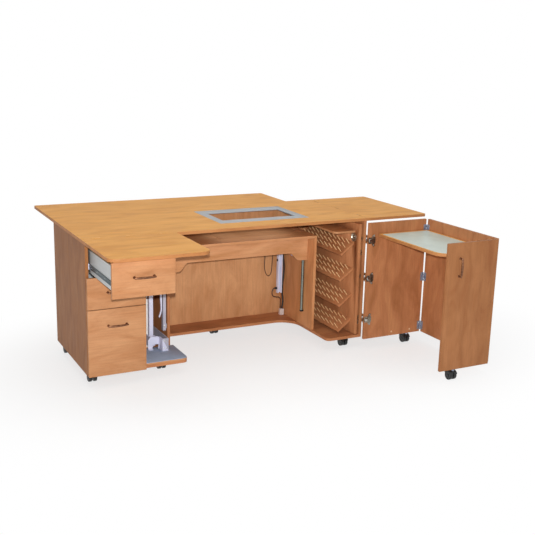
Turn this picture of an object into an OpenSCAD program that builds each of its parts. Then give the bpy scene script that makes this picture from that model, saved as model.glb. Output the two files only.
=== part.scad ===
// Sewing cabinet with folding top leaves, a machine lift and a folding door set.
// The cabinet's own corner is the outer front left edge of the drawer fronts;
// placed() moves it so that the origin is under the middle of the whole object.

/* [Overall] */
// Height of the table surface above the floor
table_h = 780; // [720:5:850]
// Thickness of the boards of the carcass and the doors
board = 16; // [15:1:19]
// Thickness of the table top and its leaves
top_t = 16; // [16:1:22]
// Height of the underside of the carcass above the floor
base_z = 62; // [58:1:75]
// Depth of the carcass behind its front edge
carcass_d = 626; // [580:5:700]
// Air between the backs of the fronts and the carcass
front_gap = 4; // [3:0.5:6]

/* [Table top] */
// How far the top stands out past the left side
top_over_left = 20; // [10:1:40]
// How far the top's front edge stands behind the drawer fronts
top_front = 14; // [10:1:18]
// Depth of the fixed middle part of the top
main_top_d = 674; // [620:1:700]
// Depth of the front leaf over the drawers
front_leaf_d = 467; // [420:1:490]
// Width of the front leaf
front_leaf_w = 500; // [440:1:560]
// Radius of the front leaf's two free corners
front_leaf_r = 50; // [20:1:60]
// Depth of the rear leaf
rear_leaf_d = 346; // [250:1:400]
// Width of the rear leaf
rear_leaf_w = 1500; // [1200:10:1600]
// Width of the right leaf
right_leaf_w = 416; // [350:1:440]
// Radius of the free corners of the right and rear leaves
leaf_r = 14; // [6:1:30]
// Gap at each leaf's seam
seam = 1; // [0.8:0.1:2]

/* [Machine opening] */
// Distance of the opening from the kneehole's right panel
opening_right = 75; // [60:1:120]
// Width of the opening in the top
opening_w = 555; // [480:1:600]
// Distance of the opening behind the front edge of the top
opening_front = 136; // [110:1:160]
// Depth of the opening
opening_d = 390; // [340:1:420]
// Thickness of the clear insert
insert_t = 6; // [5:1:8]
// Width of the ledge that carries the insert
insert_ledge = 12; // [8:1:16]
// Width of the machine hole in the insert
hole_w = 460; // [400:1:480]
// Depth of the machine hole in the insert
hole_d = 230; // [190:1:260]

/* [Pedestals and kneehole] */
// Width of the drawer pedestal
left_w = 308; // [280:1:340]
// Clear width of the lift compartment beside the drawers
comp_w = 210; // [200:1:240]
// Clear width of the kneehole
knee_w = 886; // [820:1:920]
// Clear width of the thread pedestal
rack_w = 201; // [190:1:220]
// Distance of the kneehole's left panel behind the carcass front
knee_left_back = 232; // [210:1:260]
// Distance of the kneehole's right panel behind the carcass front
knee_right_back = 187; // [150:1:220]
// Depth of the boards behind the back panels
back_inset = 16; // [10:1:24]
// Distance of the footboard's front edge behind the carcass front
foot_back = 440; // [380:1:460]
// Radius of the footboard's hollow corner at the thread pedestal
foot_r = 120; // [50:1:130]
// How far the base stands past the kneehole's left panel
tongue_w = 16; // [4:1:30]
// Radius of the tongue's and the base's outer corners
base_r = 28; // [12:1:34]

/* [Machine shelf and apron] */
// Height of the underside of the machine shelf
shelf_z = 640; // [620:1:660]
// Distance of the apron behind the shelf's front edge
apron_back = 80; // [60:1:90]
// Height of the apron at its ends
apron_h = 147; // [130:1:160]
// Rise of the apron's lower edge in the middle
apron_rise = 48; // [30:1:60]
// Width of the flat lobe at the left end of the apron
apron_lobe = 68; // [50:1:90]
// Width of the apron's curved step beside the left lobe
apron_step = 54; // [40:1:70]
// Width of the flat lobe at the right end of the apron
apron_right_lobe = 52; // [40:1:70]
// Width of the apron's curved step beside the right lobe
apron_right_step = 70; // [50:1:90]

/* [Machine lift] */
// Width of the platform's well
well_w = 530; // [480:1:560]
// Depth of the platform's well
well_d = 230; // [210:1:250]
// Distance of the well from the kneehole's right panel
well_right = 30; // [28:1:36]
// Gap round the platform
platform_gap = 2; // [1:0.5:4]
// Height of the lift frame's underside at rest
frame_z = 508; // [480:1:510]
// Height of the lift frame's side bar
frame_h = 30; // [28:1:36]
// Side of the square tubes of the lift frame
frame_tube = 20; // [16:1:25]
// Diameter of the guide tube
guide_d = 18; // [12:1:20]
// Height of the lower end of the guide tube
guide_z = 176; // [170:1:186]
// Width of the lift column
column_w = 30; // [28:1:36]
// Depth of the lift column
column_d = 22; // [20:1:26]
// Height of the lower end of the lift column
column_z = 224; // [205:1:230]
// Width of the slot in the column's face
slot_w = 12; // [10:1:16]
// Wall of the column
column_wall = 2.5; // [2:0.5:3]

/* [Lift compartment] */
// Thickness of the tray board
tray_t = 8; // [6:1:12]
// Thickness of the tray's mat
mat_t = 2.5; // [1.5:0.5:4]
// Depth of the tray
tray_d = 226; // [210:1:230]
// Width of each upright
upright_w = 23; // [20:1:26]
// Depth of each upright
upright_d = 25; // [20:1:30]
// Distance of the uprights behind the carcass front
upright_back = 237; // [235:1:250]
// Distance of the upright from the drawer pedestal
upright_in = 106; // [100:1:110]
// Width of the slimmer rail beside it
rail_w = 17; // [14:1:20]
// Height of the lower end of the slimmer rail
rail_z = 174; // [165:1:185]
// Height of the tray's brackets
bracket_h = 71; // [64:1:80]

/* [Drawers] */
// Height of the middle and of the top drawer front, while the lowest takes the rest
upper_front_hs = [164, 170];
// Gap between the drawer fronts
front_reveal = 3; // [2:0.5:4]
// Gap between the top drawer front and the table top
top_front_gap = 9; // [6:0.5:14]
// Height of each drawer box from the lowest up
box_hs = [246, 120, 116];
// Depth of the drawer boxes
box_d = 450; // [400:10:500]
// How far the top drawer stands out at rest
drawer_out = 416; // [0:1:420]
// Space at each side of a drawer box for its runner
runner_w = 10; // [9:0.5:13]
// Height of the runners
runner_h = 30; // [24:1:36]

/* [Doors] */
// Width of the door hung on the thread pedestal
door_a_w = 404; // [380:1:410]
// Width of the end door
door_c_w = 330; // [300:1:350]
// Gap between the doors' upper edges and the table top
door_head = 6; // [5:1:10]
// Gap between the closed doors and the drawer fronts
door_gap = 10; // [6:1:20]
// How far the closed door stays inside the right side's outer face
door_inset = 2; // [1:0.5:3]
// How far door A's hinge axis stands inside the right side's outer face
hinge_a_in = 7.5; // [7:0.5:9]
// How far door A's hinge axis stands in front of the drawer fronts
hinge_a_front = 6; // [5.5:0.5:8]
// Heights of the hinges of door A
hinge_a_zs = [182, 431, 656];
// Heights of the butt hinges between the doors
butt_zs = [103, 408, 700];

/* [Flap table] */
// Depth of the flap table across the doors
flap_d = 345; // [300:1:350]
// Thickness of the flap table
flap_t = 16; // [14:1:18]
// Height of the flap table's surface
flap_top = 694; // [680:1:720]
// Radius of the flap table's free front corner
flap_r = 90; // [50:1:120]
// Width of the bare wooden rim round the mat
flap_rim = 14; // [8:1:30]
// Depth of the recess for the mat
flap_mat_t = 2; // [1:0.5:3]

/* [Thread rack] */
// Thickness of the rack's shelves
rack_t = 12; // [9:1:15]
// Number of peg shelves
shelf_n = 4; // [3:1:4]
// Height between the peg shelves
shelf_pitch = 155; // [150:1:170]
// Run of a peg shelf away from the rack's back board
shelf_run = 89; // [70:1:95]
// Fall of a peg shelf over its run
shelf_fall = 68; // [50:1:75]
// Width of the rack's top board
rack_top_w = 138; // [110:1:150]
// Height of the rack's top board above the floor
rack_top_z = 688; // [670:1:700]
// Diameter of the pegs
peg_d = 6; // [5:0.5:7]
// Length of the pegs
peg_l = 40; // [30:1:50]
// Rows of pegs on a shelf
peg_rows = 3; // [2:1:3]
// Distance between pegs along a shelf
peg_pitch = 50; // [40:1:60]
// Diameter of the round finger pull
pull_d = 54; // [45:1:60]

/* [Casters] */
// Diameter of the caster wheels
wheel_d = 50; // [46:1:50]
// Width of one wheel of a pair
wheel_w = 18; // [15:1:20]
// Distance of the axle behind the swivel axis
trail = 14; // [10:1:16]
// Diameter of the swivel stem
stem_d = 11; // [8:0.5:11]

/* [Hardware] */
// Distance between the feet of a handle
handle_cc = 96; // [64:32:128]
// Diameter of a handle's bar
handle_d = 8; // [7:0.5:10]
// How far a handle stands out
handle_out = 28; // [24:1:34]
// Length of the door and flap hinges
hinge_l = 52; // [50:1:70]
// Length of the hinges let into the seams of the top
leaf_hinge_l = 44; // [36:1:60]
// Running clearance of pins in their bores
pin_fit = 0.05; // [0.03:0.01:0.1]
// Clearance of parts that slide past each other
slide_fit = 0.5; // [0.4:0.1:1]

/* [Hidden] */
$fn = 48;

y_c = board + front_gap;
y_back = y_c + carcass_d;
y_panel = y_back - back_inset - board;
under_top = table_h - top_t;
floor_z = base_z + board;

x_div = left_w - board;
x_knee_panel = left_w + comp_w;
x_knee = x_knee_panel + board;
x_knee_end = x_knee + knee_w;
x_rack = x_knee_end + board;
x_side = x_rack + rack_w;
cab_w = x_side + board;

y_knee_left = y_c + knee_left_back;
y_knee_right = y_c + knee_right_back;
y_foot = y_c + foot_back;
y_main_back = top_front + main_top_d;

x_open = x_knee_end - opening_right - opening_w;
y_open = top_front + opening_front;
rebate = insert_ledge;

y_shelf = y_knee_right;
y_apron = y_shelf + apron_back;
apron_low = shelf_z - apron_h;
y_well = y_apron + board + 9;
x_well = x_knee_end - well_right - well_w;

bush_r = guide_d / 2 + 2.2;
x_guide = x_knee_end - bush_r - 0.8;
y_guide = y_apron + board + bush_r + 0.8;
x_column = x_knee_end - 24 - column_w;
y_column = y_well + well_d + 6;
x_bar = x_column + column_w / 2 - 7;

leaf_axis_up = 0.4;
leaf_knuckle = 2;
leaf_plate = 1.2;
leaf_plate_off = 0.2;
leaf_plate_w = 14;
under_plate = 1.5;
under_knuckle = 2.5;
under_off = 1.4;

door_t = board;
door_z = base_z;
door_h = under_top - door_head - base_z;
butt_off = 3;
butt_t = 1.5;
butt_r = 4;
corner = butt_off + butt_t;
door_b_w = cab_w - door_inset - left_w - door_gap - 4 - door_a_w - door_c_w;

ax_x = cab_w - hinge_a_in;
ax_y = -hinge_a_front;
a_left = 2 * ax_x - (cab_w - door_inset);
a_in = 2 * ax_y - door_t;
a_end = a_left + door_a_w;
ab_x = a_end + 1;
ab_y = a_in - corner;
b_in = ab_x + corner;
b_start = ab_y - 1;
b_end = b_start - door_b_w;
bc_y = b_end - 1;
c_in = bc_y - corner;
c_out = c_in - door_t;

flap_off = 2.5;
flap_knuckle = 3.5;
flap_ax_x = b_in - flap_off - butt_t;
flap_ax_z = flap_top - flap_t - flap_off - butt_t;
flap_side = butt_r + 2;
flap_hinge_ys = [b_start - 70, (b_start + b_end) / 2, b_end + 70];

rack_board_x = x_side - 13 - board;
rack_y0 = y_c + 4;
rack_y1 = y_panel - 12;
rack_z0 = floor_z + 4;
rack_z1 = under_top - 20;
shelf_y0 = rack_y0 + 50;
shelf_y1 = rack_y1 - rack_t;
shelf_len = norm([shelf_run, shelf_fall]);
shelf_tilt = atan2(shelf_fall, shelf_run);
shelf_high = rack_z0 + shelf_fall + 16;
rack_runner_zs = [140, 560];

upright_x = left_w + upright_in;
rail_x = x_knee_panel - rail_w - 6;
y_up = y_c + upright_back;
up_top = under_top - 14;
tray_z = floor_z + 0.3;
tray_low = tray_z + tray_t + mat_t;
bracket_top = tray_low + bracket_h;
sleeve_t = 6;
sleeve_z = tray_low + 6;

top_front_z = table_h - top_t - top_front_gap - upper_front_hs[1];
middle_front_z = top_front_z - front_reveal - upper_front_hs[0];
front_zs = [base_z, middle_front_z, top_front_z];
front_hs = [middle_front_z - front_reveal - base_z, upper_front_hs[0], upper_front_hs[1]];
box_zs = [front_zs[0] + 22, front_zs[1] + 18, front_zs[2] + 18];
runner_zs = [box_zs[0] + 26, box_zs[1] + 34, box_zs[2] + 19];
drawer_shift = [0, 0, -drawer_out];
box_wall = 2;
box_x0 = board + runner_w;
box_x1 = x_div - runner_w;

caster_spots = [[45, y_c + 74], [45, y_back - 66], [left_w + 132, y_c + 112],
    [x_knee + 416, y_foot + 119], [x_side - 70, y_c + 50], [x_side - 70, y_back - 66],
    [a_left + 313, a_in + door_t / 2], [a_end - 235, c_in - door_t / 2]];
on_door = [false, false, false, false, false, false, true, true];
hood_r = wheel_d / 2 + 1;
hood_t = 2.5;
stem_top = base_z - 3.4;
wheel_gap = 8;
pair_w = 2 * wheel_w + wheel_gap;

x_min = -top_over_left;
x_max = cab_w + seam + right_leaf_w;
y_min = c_out - handle_out;
y_max = y_main_back + seam + rear_leaf_d;
origin = [(x_min + x_max) / 2, (y_min + y_max) / 2];

cable_d = 12;
loop_d = 6;
thin_d = 5;
column_cable = [[1404, 558, 640], [1404, 558, 560], [1404, 558, 500], [1404.5, 558, 462],
    [1409, 558, 422], [1412, 558, 386], [1411.5, 558, 350], [1409, 558, 315], [1405, 558, 280],
    [1404, 558, 240], [1404.5, 558, 215], [1408, 558, 192], [1410, 558, 165], [1408, 558, 142],
    [1406, 558, 130], [1406, 558, 118]];
loop_cable = [[1352, 559, 255], [1346, 559, 255], [1338, 559, 248], [1333, 559, 236],
    [1333, 559, 221], [1338, 559, 209], [1349, 559, 201], [1364, 559, 197],
    [1380, 559, 194.5], [1389, 559, 188],
    [1393, 559, 176], [1393, 559, 155], [1393.5, 559, 135], [1393.5, 559, 118]];
hanging_cable = [[1297, 592, 640], [1297, 592, 560], [1295.5, 592, 500], [1293, 592, 450],
    [1291, 592, 404], [1295, 592, 370], [1306, 592, 342], [1322, 592, 331], [1336, 592, 342],
    [1343, 592, 370], [1345, 592, 404], [1347, 592, 450], [1349, 592, 500], [1350, 592, 560],
    [1350, 592, 640]];

top_color = "#d6a062";
front_color = "#cc9466";
inner_color = "#b87e55";
steel = "#b9bcc0";
white_steel = "#e6e8ec";
bronze = "#5a4636";
peg_color = "#d9b27c";

function caster_name(i) = ["caster_front_left", "caster_rear_left", "caster_compartment",
    "caster_footboard", "caster_front_right", "caster_rear_right", "caster_door_a",
    "caster_door_c"][i];
drawer_names = ["file_drawer", "middle_drawer", "top_drawer"];

module placed() {
    translate([-origin.x, -origin.y, 0]) children();
}

// Block between two corners
module block(a, b) {
    translate(a) cube(b - a);
}

// What a convex corner of radius r loses, with the corner at the origin
module corner_cut(r) {
    difference() {
        translate([-1, -1]) square(r + 1);
        translate([r, r]) circle(r);
    }
}

module plate_z(z, t) {
    translate([0, 0, z]) linear_extrude(t) children();
}

// Half of a butt hinge: its pin is on Z, its leaf lies along -X at y = off
module hinge_half(l, leaf_w, t, off, r, holds_pin) {
    seg = l / 3;
    play = 0.3;
    pin_r = r * 0.45;
    spans = holds_pin ? [[0, seg - play], [2 * seg + play, l]] : [[seg, 2 * seg]];
    translate([0, 0, -l / 2]) {
        difference() {
            union() {
                translate([-leaf_w, off, 0]) cube([leaf_w - r - 0.4, t, l]);
                for (s = spans) {
                    translate([-r - 0.5, off, s[0]]) cube([r + 0.5, t, s[1] - s[0]]);
                    translate([0, 0, s[0]]) cylinder(r = r, h = s[1] - s[0]);
                }
            }
            if (!holds_pin)
                translate([0, 0, -1]) cylinder(r = pin_r + pin_fit, h = l + 2);
        }
        if (holds_pin)
            cylinder(r = pin_r, h = l);
    }
}

// Space that a hinge in a seam needs in the two boards
module seam_hinge_pocket() {
    half = leaf_plate_off + leaf_plate + 0.1;
    l = leaf_hinge_l + 0.4;
    translate([-leaf_plate_w - 0.2, -half, -l / 2]) cube([leaf_plate_w + 4, 2 * half, l]);
    translate([0, 0, -l / 2]) cylinder(r = leaf_knuckle + 0.3, h = l);
}

front_hinge_xs = [x_min + 80, x_min + front_leaf_w / 2, x_min + front_leaf_w - 80];
right_hinge_ys = [top_front + 90, top_front + main_top_d / 2, y_main_back - 90];
rear_hinge_xs = [x_min + 120, x_min + rear_leaf_w / 2, x_min + rear_leaf_w - 120];

// Frames of the hinges in the seams: local -X points down, local +Y to the fixed board
module at_front_hinges() {
    for (x = front_hinge_xs)
        translate([x, top_front - seam / 2, table_h + leaf_axis_up]) rotate([0, -90, 0]) children();
}

module at_right_hinges() {
    for (y = right_hinge_ys)
        translate([cab_w + seam / 2, y, table_h + leaf_axis_up])
            rotate([0, 0, 90]) rotate([0, -90, 0]) children();
}

module at_rear_hinges() {
    for (x = rear_hinge_xs)
        translate([x, y_main_back + seam / 2, under_top - under_plate - under_off])
            rotate([90, 0, 90]) children();
}

module leaf_half(fixed) {
    mirror([0, fixed ? 0 : 1, 0])
        hinge_half(leaf_hinge_l, leaf_plate_w, leaf_plate, leaf_plate_off, leaf_knuckle, fixed);
}

module rear_half(fixed) {
    mirror([fixed ? 0 : 1, 0, 0])
        hinge_half(hinge_l, 28, under_plate, under_off, under_knuckle, fixed);
}

module left_side_panel() {
    color(inner_color) placed() block([0, y_c, base_z], [board, y_back, under_top]);
}

module compartment_panels() {
    color(inner_color) placed() {
        block([x_div, y_c, floor_z], [left_w, y_panel, under_top]);
        block([x_knee_panel, y_knee_left, floor_z], [x_knee, y_back, under_top]);
    }
}

module base_left_outline() {
    difference() {
        union() {
            translate([board, y_c]) square([x_knee - board, carcass_d]);
            translate([x_knee - 1, y_c]) square([tongue_w + 1, knee_left_back - 2]);
        }
        translate([x_knee + tongue_w, y_c]) rotate(90) corner_cut(base_r);
    }
}

module base_right_outline() {
    difference() {
        union() {
            translate([x_knee, y_foot]) square([x_side - x_knee, y_back - y_foot]);
            translate([x_knee_end, y_c]) square([x_side - x_knee_end, carcass_d]);
            translate([x_knee_end - foot_r, y_foot - foot_r])
                difference() {
                    square(foot_r);
                    circle(foot_r);
                }
        }
        translate([x_knee_end, y_c]) corner_cut(base_r);
    }
}

module base_boards() {
    color(front_color) placed() {
        plate_z(base_z, board) base_left_outline();
        plate_z(base_z, board) base_right_outline();
    }
}

module back_panels() {
    color(inner_color) placed() {
        block([board, y_panel, floor_z], [x_knee_panel, y_panel + board, under_top]);
        block([x_knee, y_panel, floor_z], [x_side, y_panel + board, under_top]);
    }
}

module machine_shelf() {
    color(front_color) placed() difference() {
        block([x_knee, y_shelf, shelf_z], [x_rack, y_panel, shelf_z + board]);
        block([x_well, y_well, shelf_z - 1], [x_well + well_w, y_well + well_d, shelf_z + board + 1]);
    }
}

// The apron's lower edge from its left lobe to its right one
function apron_curve(x0, x1, z0, z1) =
    [for (i = [0:8]) [x0 + (x1 - x0) * i / 8, z0 + (z1 - z0) * (1 - cos(180 * i / 8)) / 2]];

module apron() {
    low = apron_low;
    high = apron_low + apron_rise;
    outline = concat(
        [[x_knee, shelf_z], [x_knee, low]],
        apron_curve(x_knee + apron_lobe, x_knee + apron_lobe + apron_step, low, high),
        apron_curve(x_knee_end - apron_right_lobe - apron_right_step,
            x_knee_end - apron_right_lobe, high, low),
        [[x_knee_end, low], [x_knee_end, shelf_z]]);
    color(front_color) placed() translate([0, y_apron + board, 0]) rotate([90, 0, 0])
        linear_extrude(board) polygon(outline);
}

module kneehole_right_panel() {
    color(inner_color) placed()
        block([x_knee_end, y_knee_right, floor_z], [x_rack, y_panel, shelf_z]);
}

module right_side_panel() {
    color(inner_color) placed() block([x_side, y_c, base_z], [cab_w, y_back, under_top]);
}

module main_top() {
    color(top_color) placed() difference() {
        block([x_min, top_front, under_top], [cab_w, y_main_back, table_h]);
        block([x_open + rebate, y_open + rebate, under_top - 1],
            [x_open + opening_w - rebate, y_open + opening_d - rebate, table_h + 1]);
        block([x_open, y_open, table_h - insert_t],
            [x_open + opening_w, y_open + opening_d, table_h + 1]);
        at_front_hinges() seam_hinge_pocket();
        at_right_hinges() seam_hinge_pocket();
    }
}

module machine_insert() {
    play = 0.5;
    hole_x = x_open + (opening_w - hole_w) / 2;
    hole_y = y_open + (opening_d - hole_d) / 2;
    color("#d5dcdc", 0.7) placed() plate_z(table_h - insert_t, insert_t) difference() {
        translate([x_open + play, y_open + play])
            square([opening_w - 2 * play, opening_d - 2 * play]);
        translate([hole_x, hole_y]) square([hole_w, hole_d]);
    }
}

module front_leaf() {
    y0 = top_front - seam - front_leaf_d;
    color(top_color) placed() difference() {
        plate_z(under_top, top_t) difference() {
            translate([x_min, y0]) square([front_leaf_w, front_leaf_d]);
            translate([x_min, y0]) corner_cut(front_leaf_r);
            translate([x_min + front_leaf_w, y0]) rotate(90) corner_cut(front_leaf_r);
        }
        at_front_hinges() seam_hinge_pocket();
    }
}

module rear_leaf() {
    y0 = y_main_back + seam;
    color(top_color) placed() plate_z(under_top, top_t) difference() {
        translate([x_min, y0]) square([rear_leaf_w, rear_leaf_d]);
        translate([x_min, y0 + rear_leaf_d]) rotate(-90) corner_cut(leaf_r);
        translate([x_min + rear_leaf_w, y0 + rear_leaf_d]) rotate(180) corner_cut(leaf_r);
    }
}

module right_leaf() {
    x0 = cab_w + seam;
    color(top_color) placed() difference() {
        plate_z(under_top, top_t) difference() {
            translate([x0, top_front]) square([right_leaf_w, main_top_d]);
            translate([x0 + right_leaf_w, top_front]) rotate(90) corner_cut(leaf_r);
            translate([x0 + right_leaf_w, y_main_back]) rotate(180) corner_cut(leaf_r);
        }
        at_right_hinges() seam_hinge_pocket();
    }
}

// Door A turns about an axis in front of the side panel's edge
hook_seg = 16;

module door_a_fixed_hinge() {
    for (s = [-1, 1]) translate([0, 0, s * (hook_seg + 0.3)]) {
        z0 = -hook_seg / 2;
        difference() {
            union() {
                translate([ax_x, ax_y, z0]) cylinder(r = 3.5, h = hook_seg);
                block([ax_x, ax_y - 2, z0], [cab_w + 2.5, ax_y + 2, z0 + hook_seg]);
            }
            translate([ax_x, ax_y, z0 - 1]) cylinder(r = 1.6 + pin_fit, h = hook_seg + 2);
        }
        block([cab_w, ax_y - 2, z0], [cab_w + 2.5, y_c + 6, z0 + hook_seg]);
    }
    block([cab_w, y_c + 3, -30], [cab_w + 2.5, y_c + 38, 30]);
}

module fixed_hinge_plates() {
    color(steel) placed() {
        at_front_hinges() leaf_half(true);
        at_right_hinges() leaf_half(true);
        at_rear_hinges() rear_half(true);
        for (z = hinge_a_zs) translate([0, 0, z]) door_a_fixed_hinge();
    }
}

module front_leaf_hinges() {
    color(steel) placed() at_front_hinges() leaf_half(false);
}

module right_leaf_hinges() {
    color(steel) placed() at_right_hinges() leaf_half(false);
}

module rear_leaf_hinges() {
    color(steel) placed() at_rear_hinges() rear_half(false);
}

// Rail of a drawer runner on each side of the drawer pedestal
module drawer_rails(i) {
    rail = runner_w - 4;
    y0 = y_c + 4;
    for (x = [board, x_div - rail])
        block([x, y0, runner_zs[i]], [x + rail, y0 + box_d, runner_zs[i] + runner_h]);
}

module lift_column() {
    translate([x_column, y_column, column_z]) linear_extrude(shelf_z - column_z) difference() {
        square([column_w, column_d]);
        translate([column_wall, column_wall])
            square([column_w - 2 * column_wall, column_d - 2 * column_wall]);
        translate([(column_w - slot_w) / 2, -1]) square([slot_w, column_wall + 2]);
    }
}

// Upright with a strip behind it, and the slimmer rail, all tied to the kneehole's panel
module compartment_uprights() {
    y1 = y_up + upright_d;
    block([upright_x, y_up, floor_z], [upright_x + upright_w, y1, up_top]);
    block([upright_x - 6, y1 + 7, floor_z], [upright_x + 4, y1 + 11, up_top]);
    block([rail_x, y_up, rail_z], [rail_x + rail_w, y1, up_top]);
    block([upright_x - 6, y1 - 1, up_top - 60], [x_knee_panel, y1 + 8, up_top - 24]);
    for (z = [rail_z + 12, 420])
        block([rail_x + rail_w - 1, y_up + 5, z], [x_knee_panel, y1 - 5, z + 24]);
}

// Curved band that hangs between the upright and the rail
module lift_band() {
    x = rail_x - 20;
    y0 = y_up - 9;
    z1 = up_top - 24;
    translate([x, y0 + 8, 0]) rotate([90, 0, 0]) linear_extrude(8)
        polygon([[0, z1], [0, 372], [3, 329], [4, 301], [-1, 279], [-8, 259], [-3, 255], [5, 276],
            [10, 300], [10, 330], [10, 372], [10, z1]]);
    block([x, y0 + 1, z1 - 12], [x + 10, y_up + upright_d + 2, z1]);
}

module steel_rails() {
    color(white_steel) placed() {
        for (i = [0:2]) drawer_rails(i);
        lift_column();
        compartment_uprights();
        lift_band();
        for (z = rack_runner_zs)
            block([x_side - 6, rack_y0 + 6, z], [x_side, rack_y1 - 6, z + runner_h]);
        block([x_knee_end - 31, y_column, floor_z], [x_knee_end - 5, y_column + 20, floor_z + 40]);
    }
}

module guide_tube() {
    color("#a8adb0") placed() {
        difference() {
            translate([x_guide, y_guide, guide_z])
                cylinder(d = guide_d, h = shelf_z - guide_z);
            translate([x_guide, y_guide, guide_z - 1])
                cylinder(d = guide_d - 3, h = shelf_z - guide_z + 2);
        }
    }
    color("#26231f") placed() {
        block([x_guide - 8, y_guide - 8, guide_z - 10], [x_knee_end, y_guide + 8, guide_z]);
        for (k = [[255, 14], [435, 4]])
            translate([x_column, y_column + 11, k[0]]) rotate([0, -90, 0])
                cylinder(d = 15, h = k[1]);
    }
}

// A round tube along a route's points, with a ring at each point
module cord(route, d, sides) {
    n = len(route);
    function way(i) =
        let (v = route[min(i + 1, n - 1)] - route[max(i - 1, 0)]) v / norm(v);
    function side_of(t) = let (v = cross([0, 1, 0], t)) v / norm(v);
    rings = [for (i = [0:n - 1]) let (t = way(i), u = side_of(t), w = cross(t, u))
        each [for (k = [0:sides - 1])
            route[i] + d / 2 * (cos(360 * k / sides) * u + sin(360 * k / sides) * w)]];
    walls = [for (i = [0:n - 2]) for (k = [0:sides - 1])
        let (a = i * sides + k, b = i * sides + (k + 1) % sides)
            each [[a, b, b + sides], [a, b + sides, a + sides]]];
    ends = [for (k = [1:sides - 2])
        each [[0, k + 1, k], [(n - 1) * sides, (n - 1) * sides + k, (n - 1) * sides + k + 1]]];
    polyhedron(points = rings, faces = concat(walls, ends));
}

module lift_cables() {
    color("#2b211c") placed() {
        cord(column_cable, cable_d, 8);
        cord(loop_cable, loop_d, 8);
        cord(hanging_cable, thin_d, 8);
    }
}

// Casters
module at_caster(i) {
    translate([caster_spots[i].x, caster_spots[i].y, 0]) children();
}

module caster_socket(i) {
    difference() {
        union() {
            if (!on_door[i]) block([-21, -21, base_z - 3], [21, 21, base_z]);
            translate([0, 0, base_z - 8]) cylinder(r = stem_d / 2 + 2.2, h = 8);
        }
        translate([0, 0, base_z - 9]) cylinder(r = stem_d / 2 + pin_fit, h = 9 - 3);
    }
}

module caster_housing(i) {
    axle_z = wheel_d / 2;
    color("#1b1b1d") placed() at_caster(i) {
        difference() {
            union() {
                translate([-wheel_gap / 2 + 0.5, 0, 0]) rotate([90, 0, 90])
                    linear_extrude(wheel_gap - 1) {
                        translate([trail, axle_z]) circle(9);
                        polygon([[trail - 9, axle_z], [trail + 9, axle_z],
                            [trail + 6, base_z - 12], [-stem_d / 2, base_z - 12],
                            [-stem_d / 2, base_z - 22]]);
                    }
                intersection() {
                    translate([-pair_w / 2, trail, axle_z]) rotate([0, 90, 0]) difference() {
                        cylinder(r = hood_r + hood_t, h = pair_w);
                        translate([0, 0, -1]) cylinder(r = hood_r, h = pair_w + 2);
                    }
                    block([-pair_w, trail - 60, axle_z + 8], [pair_w, trail + 60, base_z - 8.4]);
                }
                translate([0, 0, base_z - 16]) cylinder(d = stem_d, h = 16 - 3.4);
            }
            translate([-20, trail, axle_z]) rotate([0, 90, 0]) cylinder(r = 3 + pin_fit, h = 40);
            translate([0, trail, axle_z]) for (s = [-1, 1])
                translate([s * (wheel_gap / 2 + wheel_w / 2), 0, 0]) rotate([0, 90, 0])
                    cylinder(r = hood_r, h = wheel_w + 0.6, center = true);
        }
    }
}

module caster_wheels(i) {
    axle_z = wheel_d / 2;
    e = 3;
    color("#222224") placed() at_caster(i) translate([0, trail, axle_z]) rotate([0, 90, 0]) {
        cylinder(r = 3, h = pair_w - 4, center = true);
        for (s = [-1, 1])
            translate([0, 0, s * (wheel_gap / 2 + wheel_w / 2)]) rotate_extrude() {
                translate([0, -wheel_w / 2]) square([wheel_d / 2 - e, wheel_w]);
                translate([0, -wheel_w / 2 + e]) square([wheel_d / 2, wheel_w - 2 * e]);
                for (q = [-1, 1])
                    translate([wheel_d / 2 - e, q * (wheel_w / 2 - e)]) circle(e);
            }
    }
}

module caster_plates() {
    color(steel) placed() for (i = [0:5]) at_caster(i) caster_socket(i);
}

// Doors
module door_a() {
    color(front_color) placed()
        block([a_left, a_in, door_z], [a_end, a_in + door_t, door_z + door_h]);
}

module door_b() {
    color(front_color) placed()
        block([b_in, b_end, door_z], [b_in + door_t, b_start, door_z + door_h]);
}

module door_c() {
    color(front_color) placed()
        block([a_end - door_c_w, c_out, door_z], [a_end, c_in, door_z + door_h]);
}

module door_butt(fixed) {
    hinge_half(hinge_l, 20, butt_t, butt_off, butt_r, fixed);
}

module door_a_moving_hinge() {
    z0 = -hook_seg / 2;
    cylinder(r = 3.5, h = hook_seg - 0.4, center = true);
    cylinder(r = 1.6, h = 3 * hook_seg + 0.6, center = true);
    dx = a_left - ax_x;
    dy = a_in - ax_y;
    block([dx - 1.6, -2, z0 + 0.2], [0, 2, -z0 - 0.2]);
    block([dx - 1.6, dy - 1.5, z0 + 0.2], [dx, 2, -z0 - 0.2]);
    block([dx - 1.6, dy - 1.5, -18], [dx + 46, dy, 18]);
}

module door_a_hardware() {
    color(steel) placed() {
        for (z = hinge_a_zs) translate([ax_x, ax_y, z]) door_a_moving_hinge();
        for (z = butt_zs) translate([ab_x, ab_y, z]) door_butt(true);
        at_caster(6) caster_socket(6);
    }
}

// A hinge between doors seen from its second door
module second_door() {
    mirror([1, -1, 0]) children();
}

module door_b_hardware() {
    color(steel) placed() {
        for (z = butt_zs) {
            translate([ab_x, ab_y, z]) second_door() door_butt(false);
            translate([ab_x, bc_y, z]) mirror([0, 1, 0]) second_door() door_butt(true);
        }
        for (y = flap_hinge_ys)
            translate([flap_ax_x, y, flap_ax_z]) rotate([90, 0, 0]) second_door() flap_half(true);
    }
}

module door_c_hardware() {
    color(steel) placed() {
        for (z = butt_zs)
            translate([ab_x, bc_y, z]) mirror([0, 1, 0]) door_butt(false);
        at_caster(7) caster_socket(7);
    }
}

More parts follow.
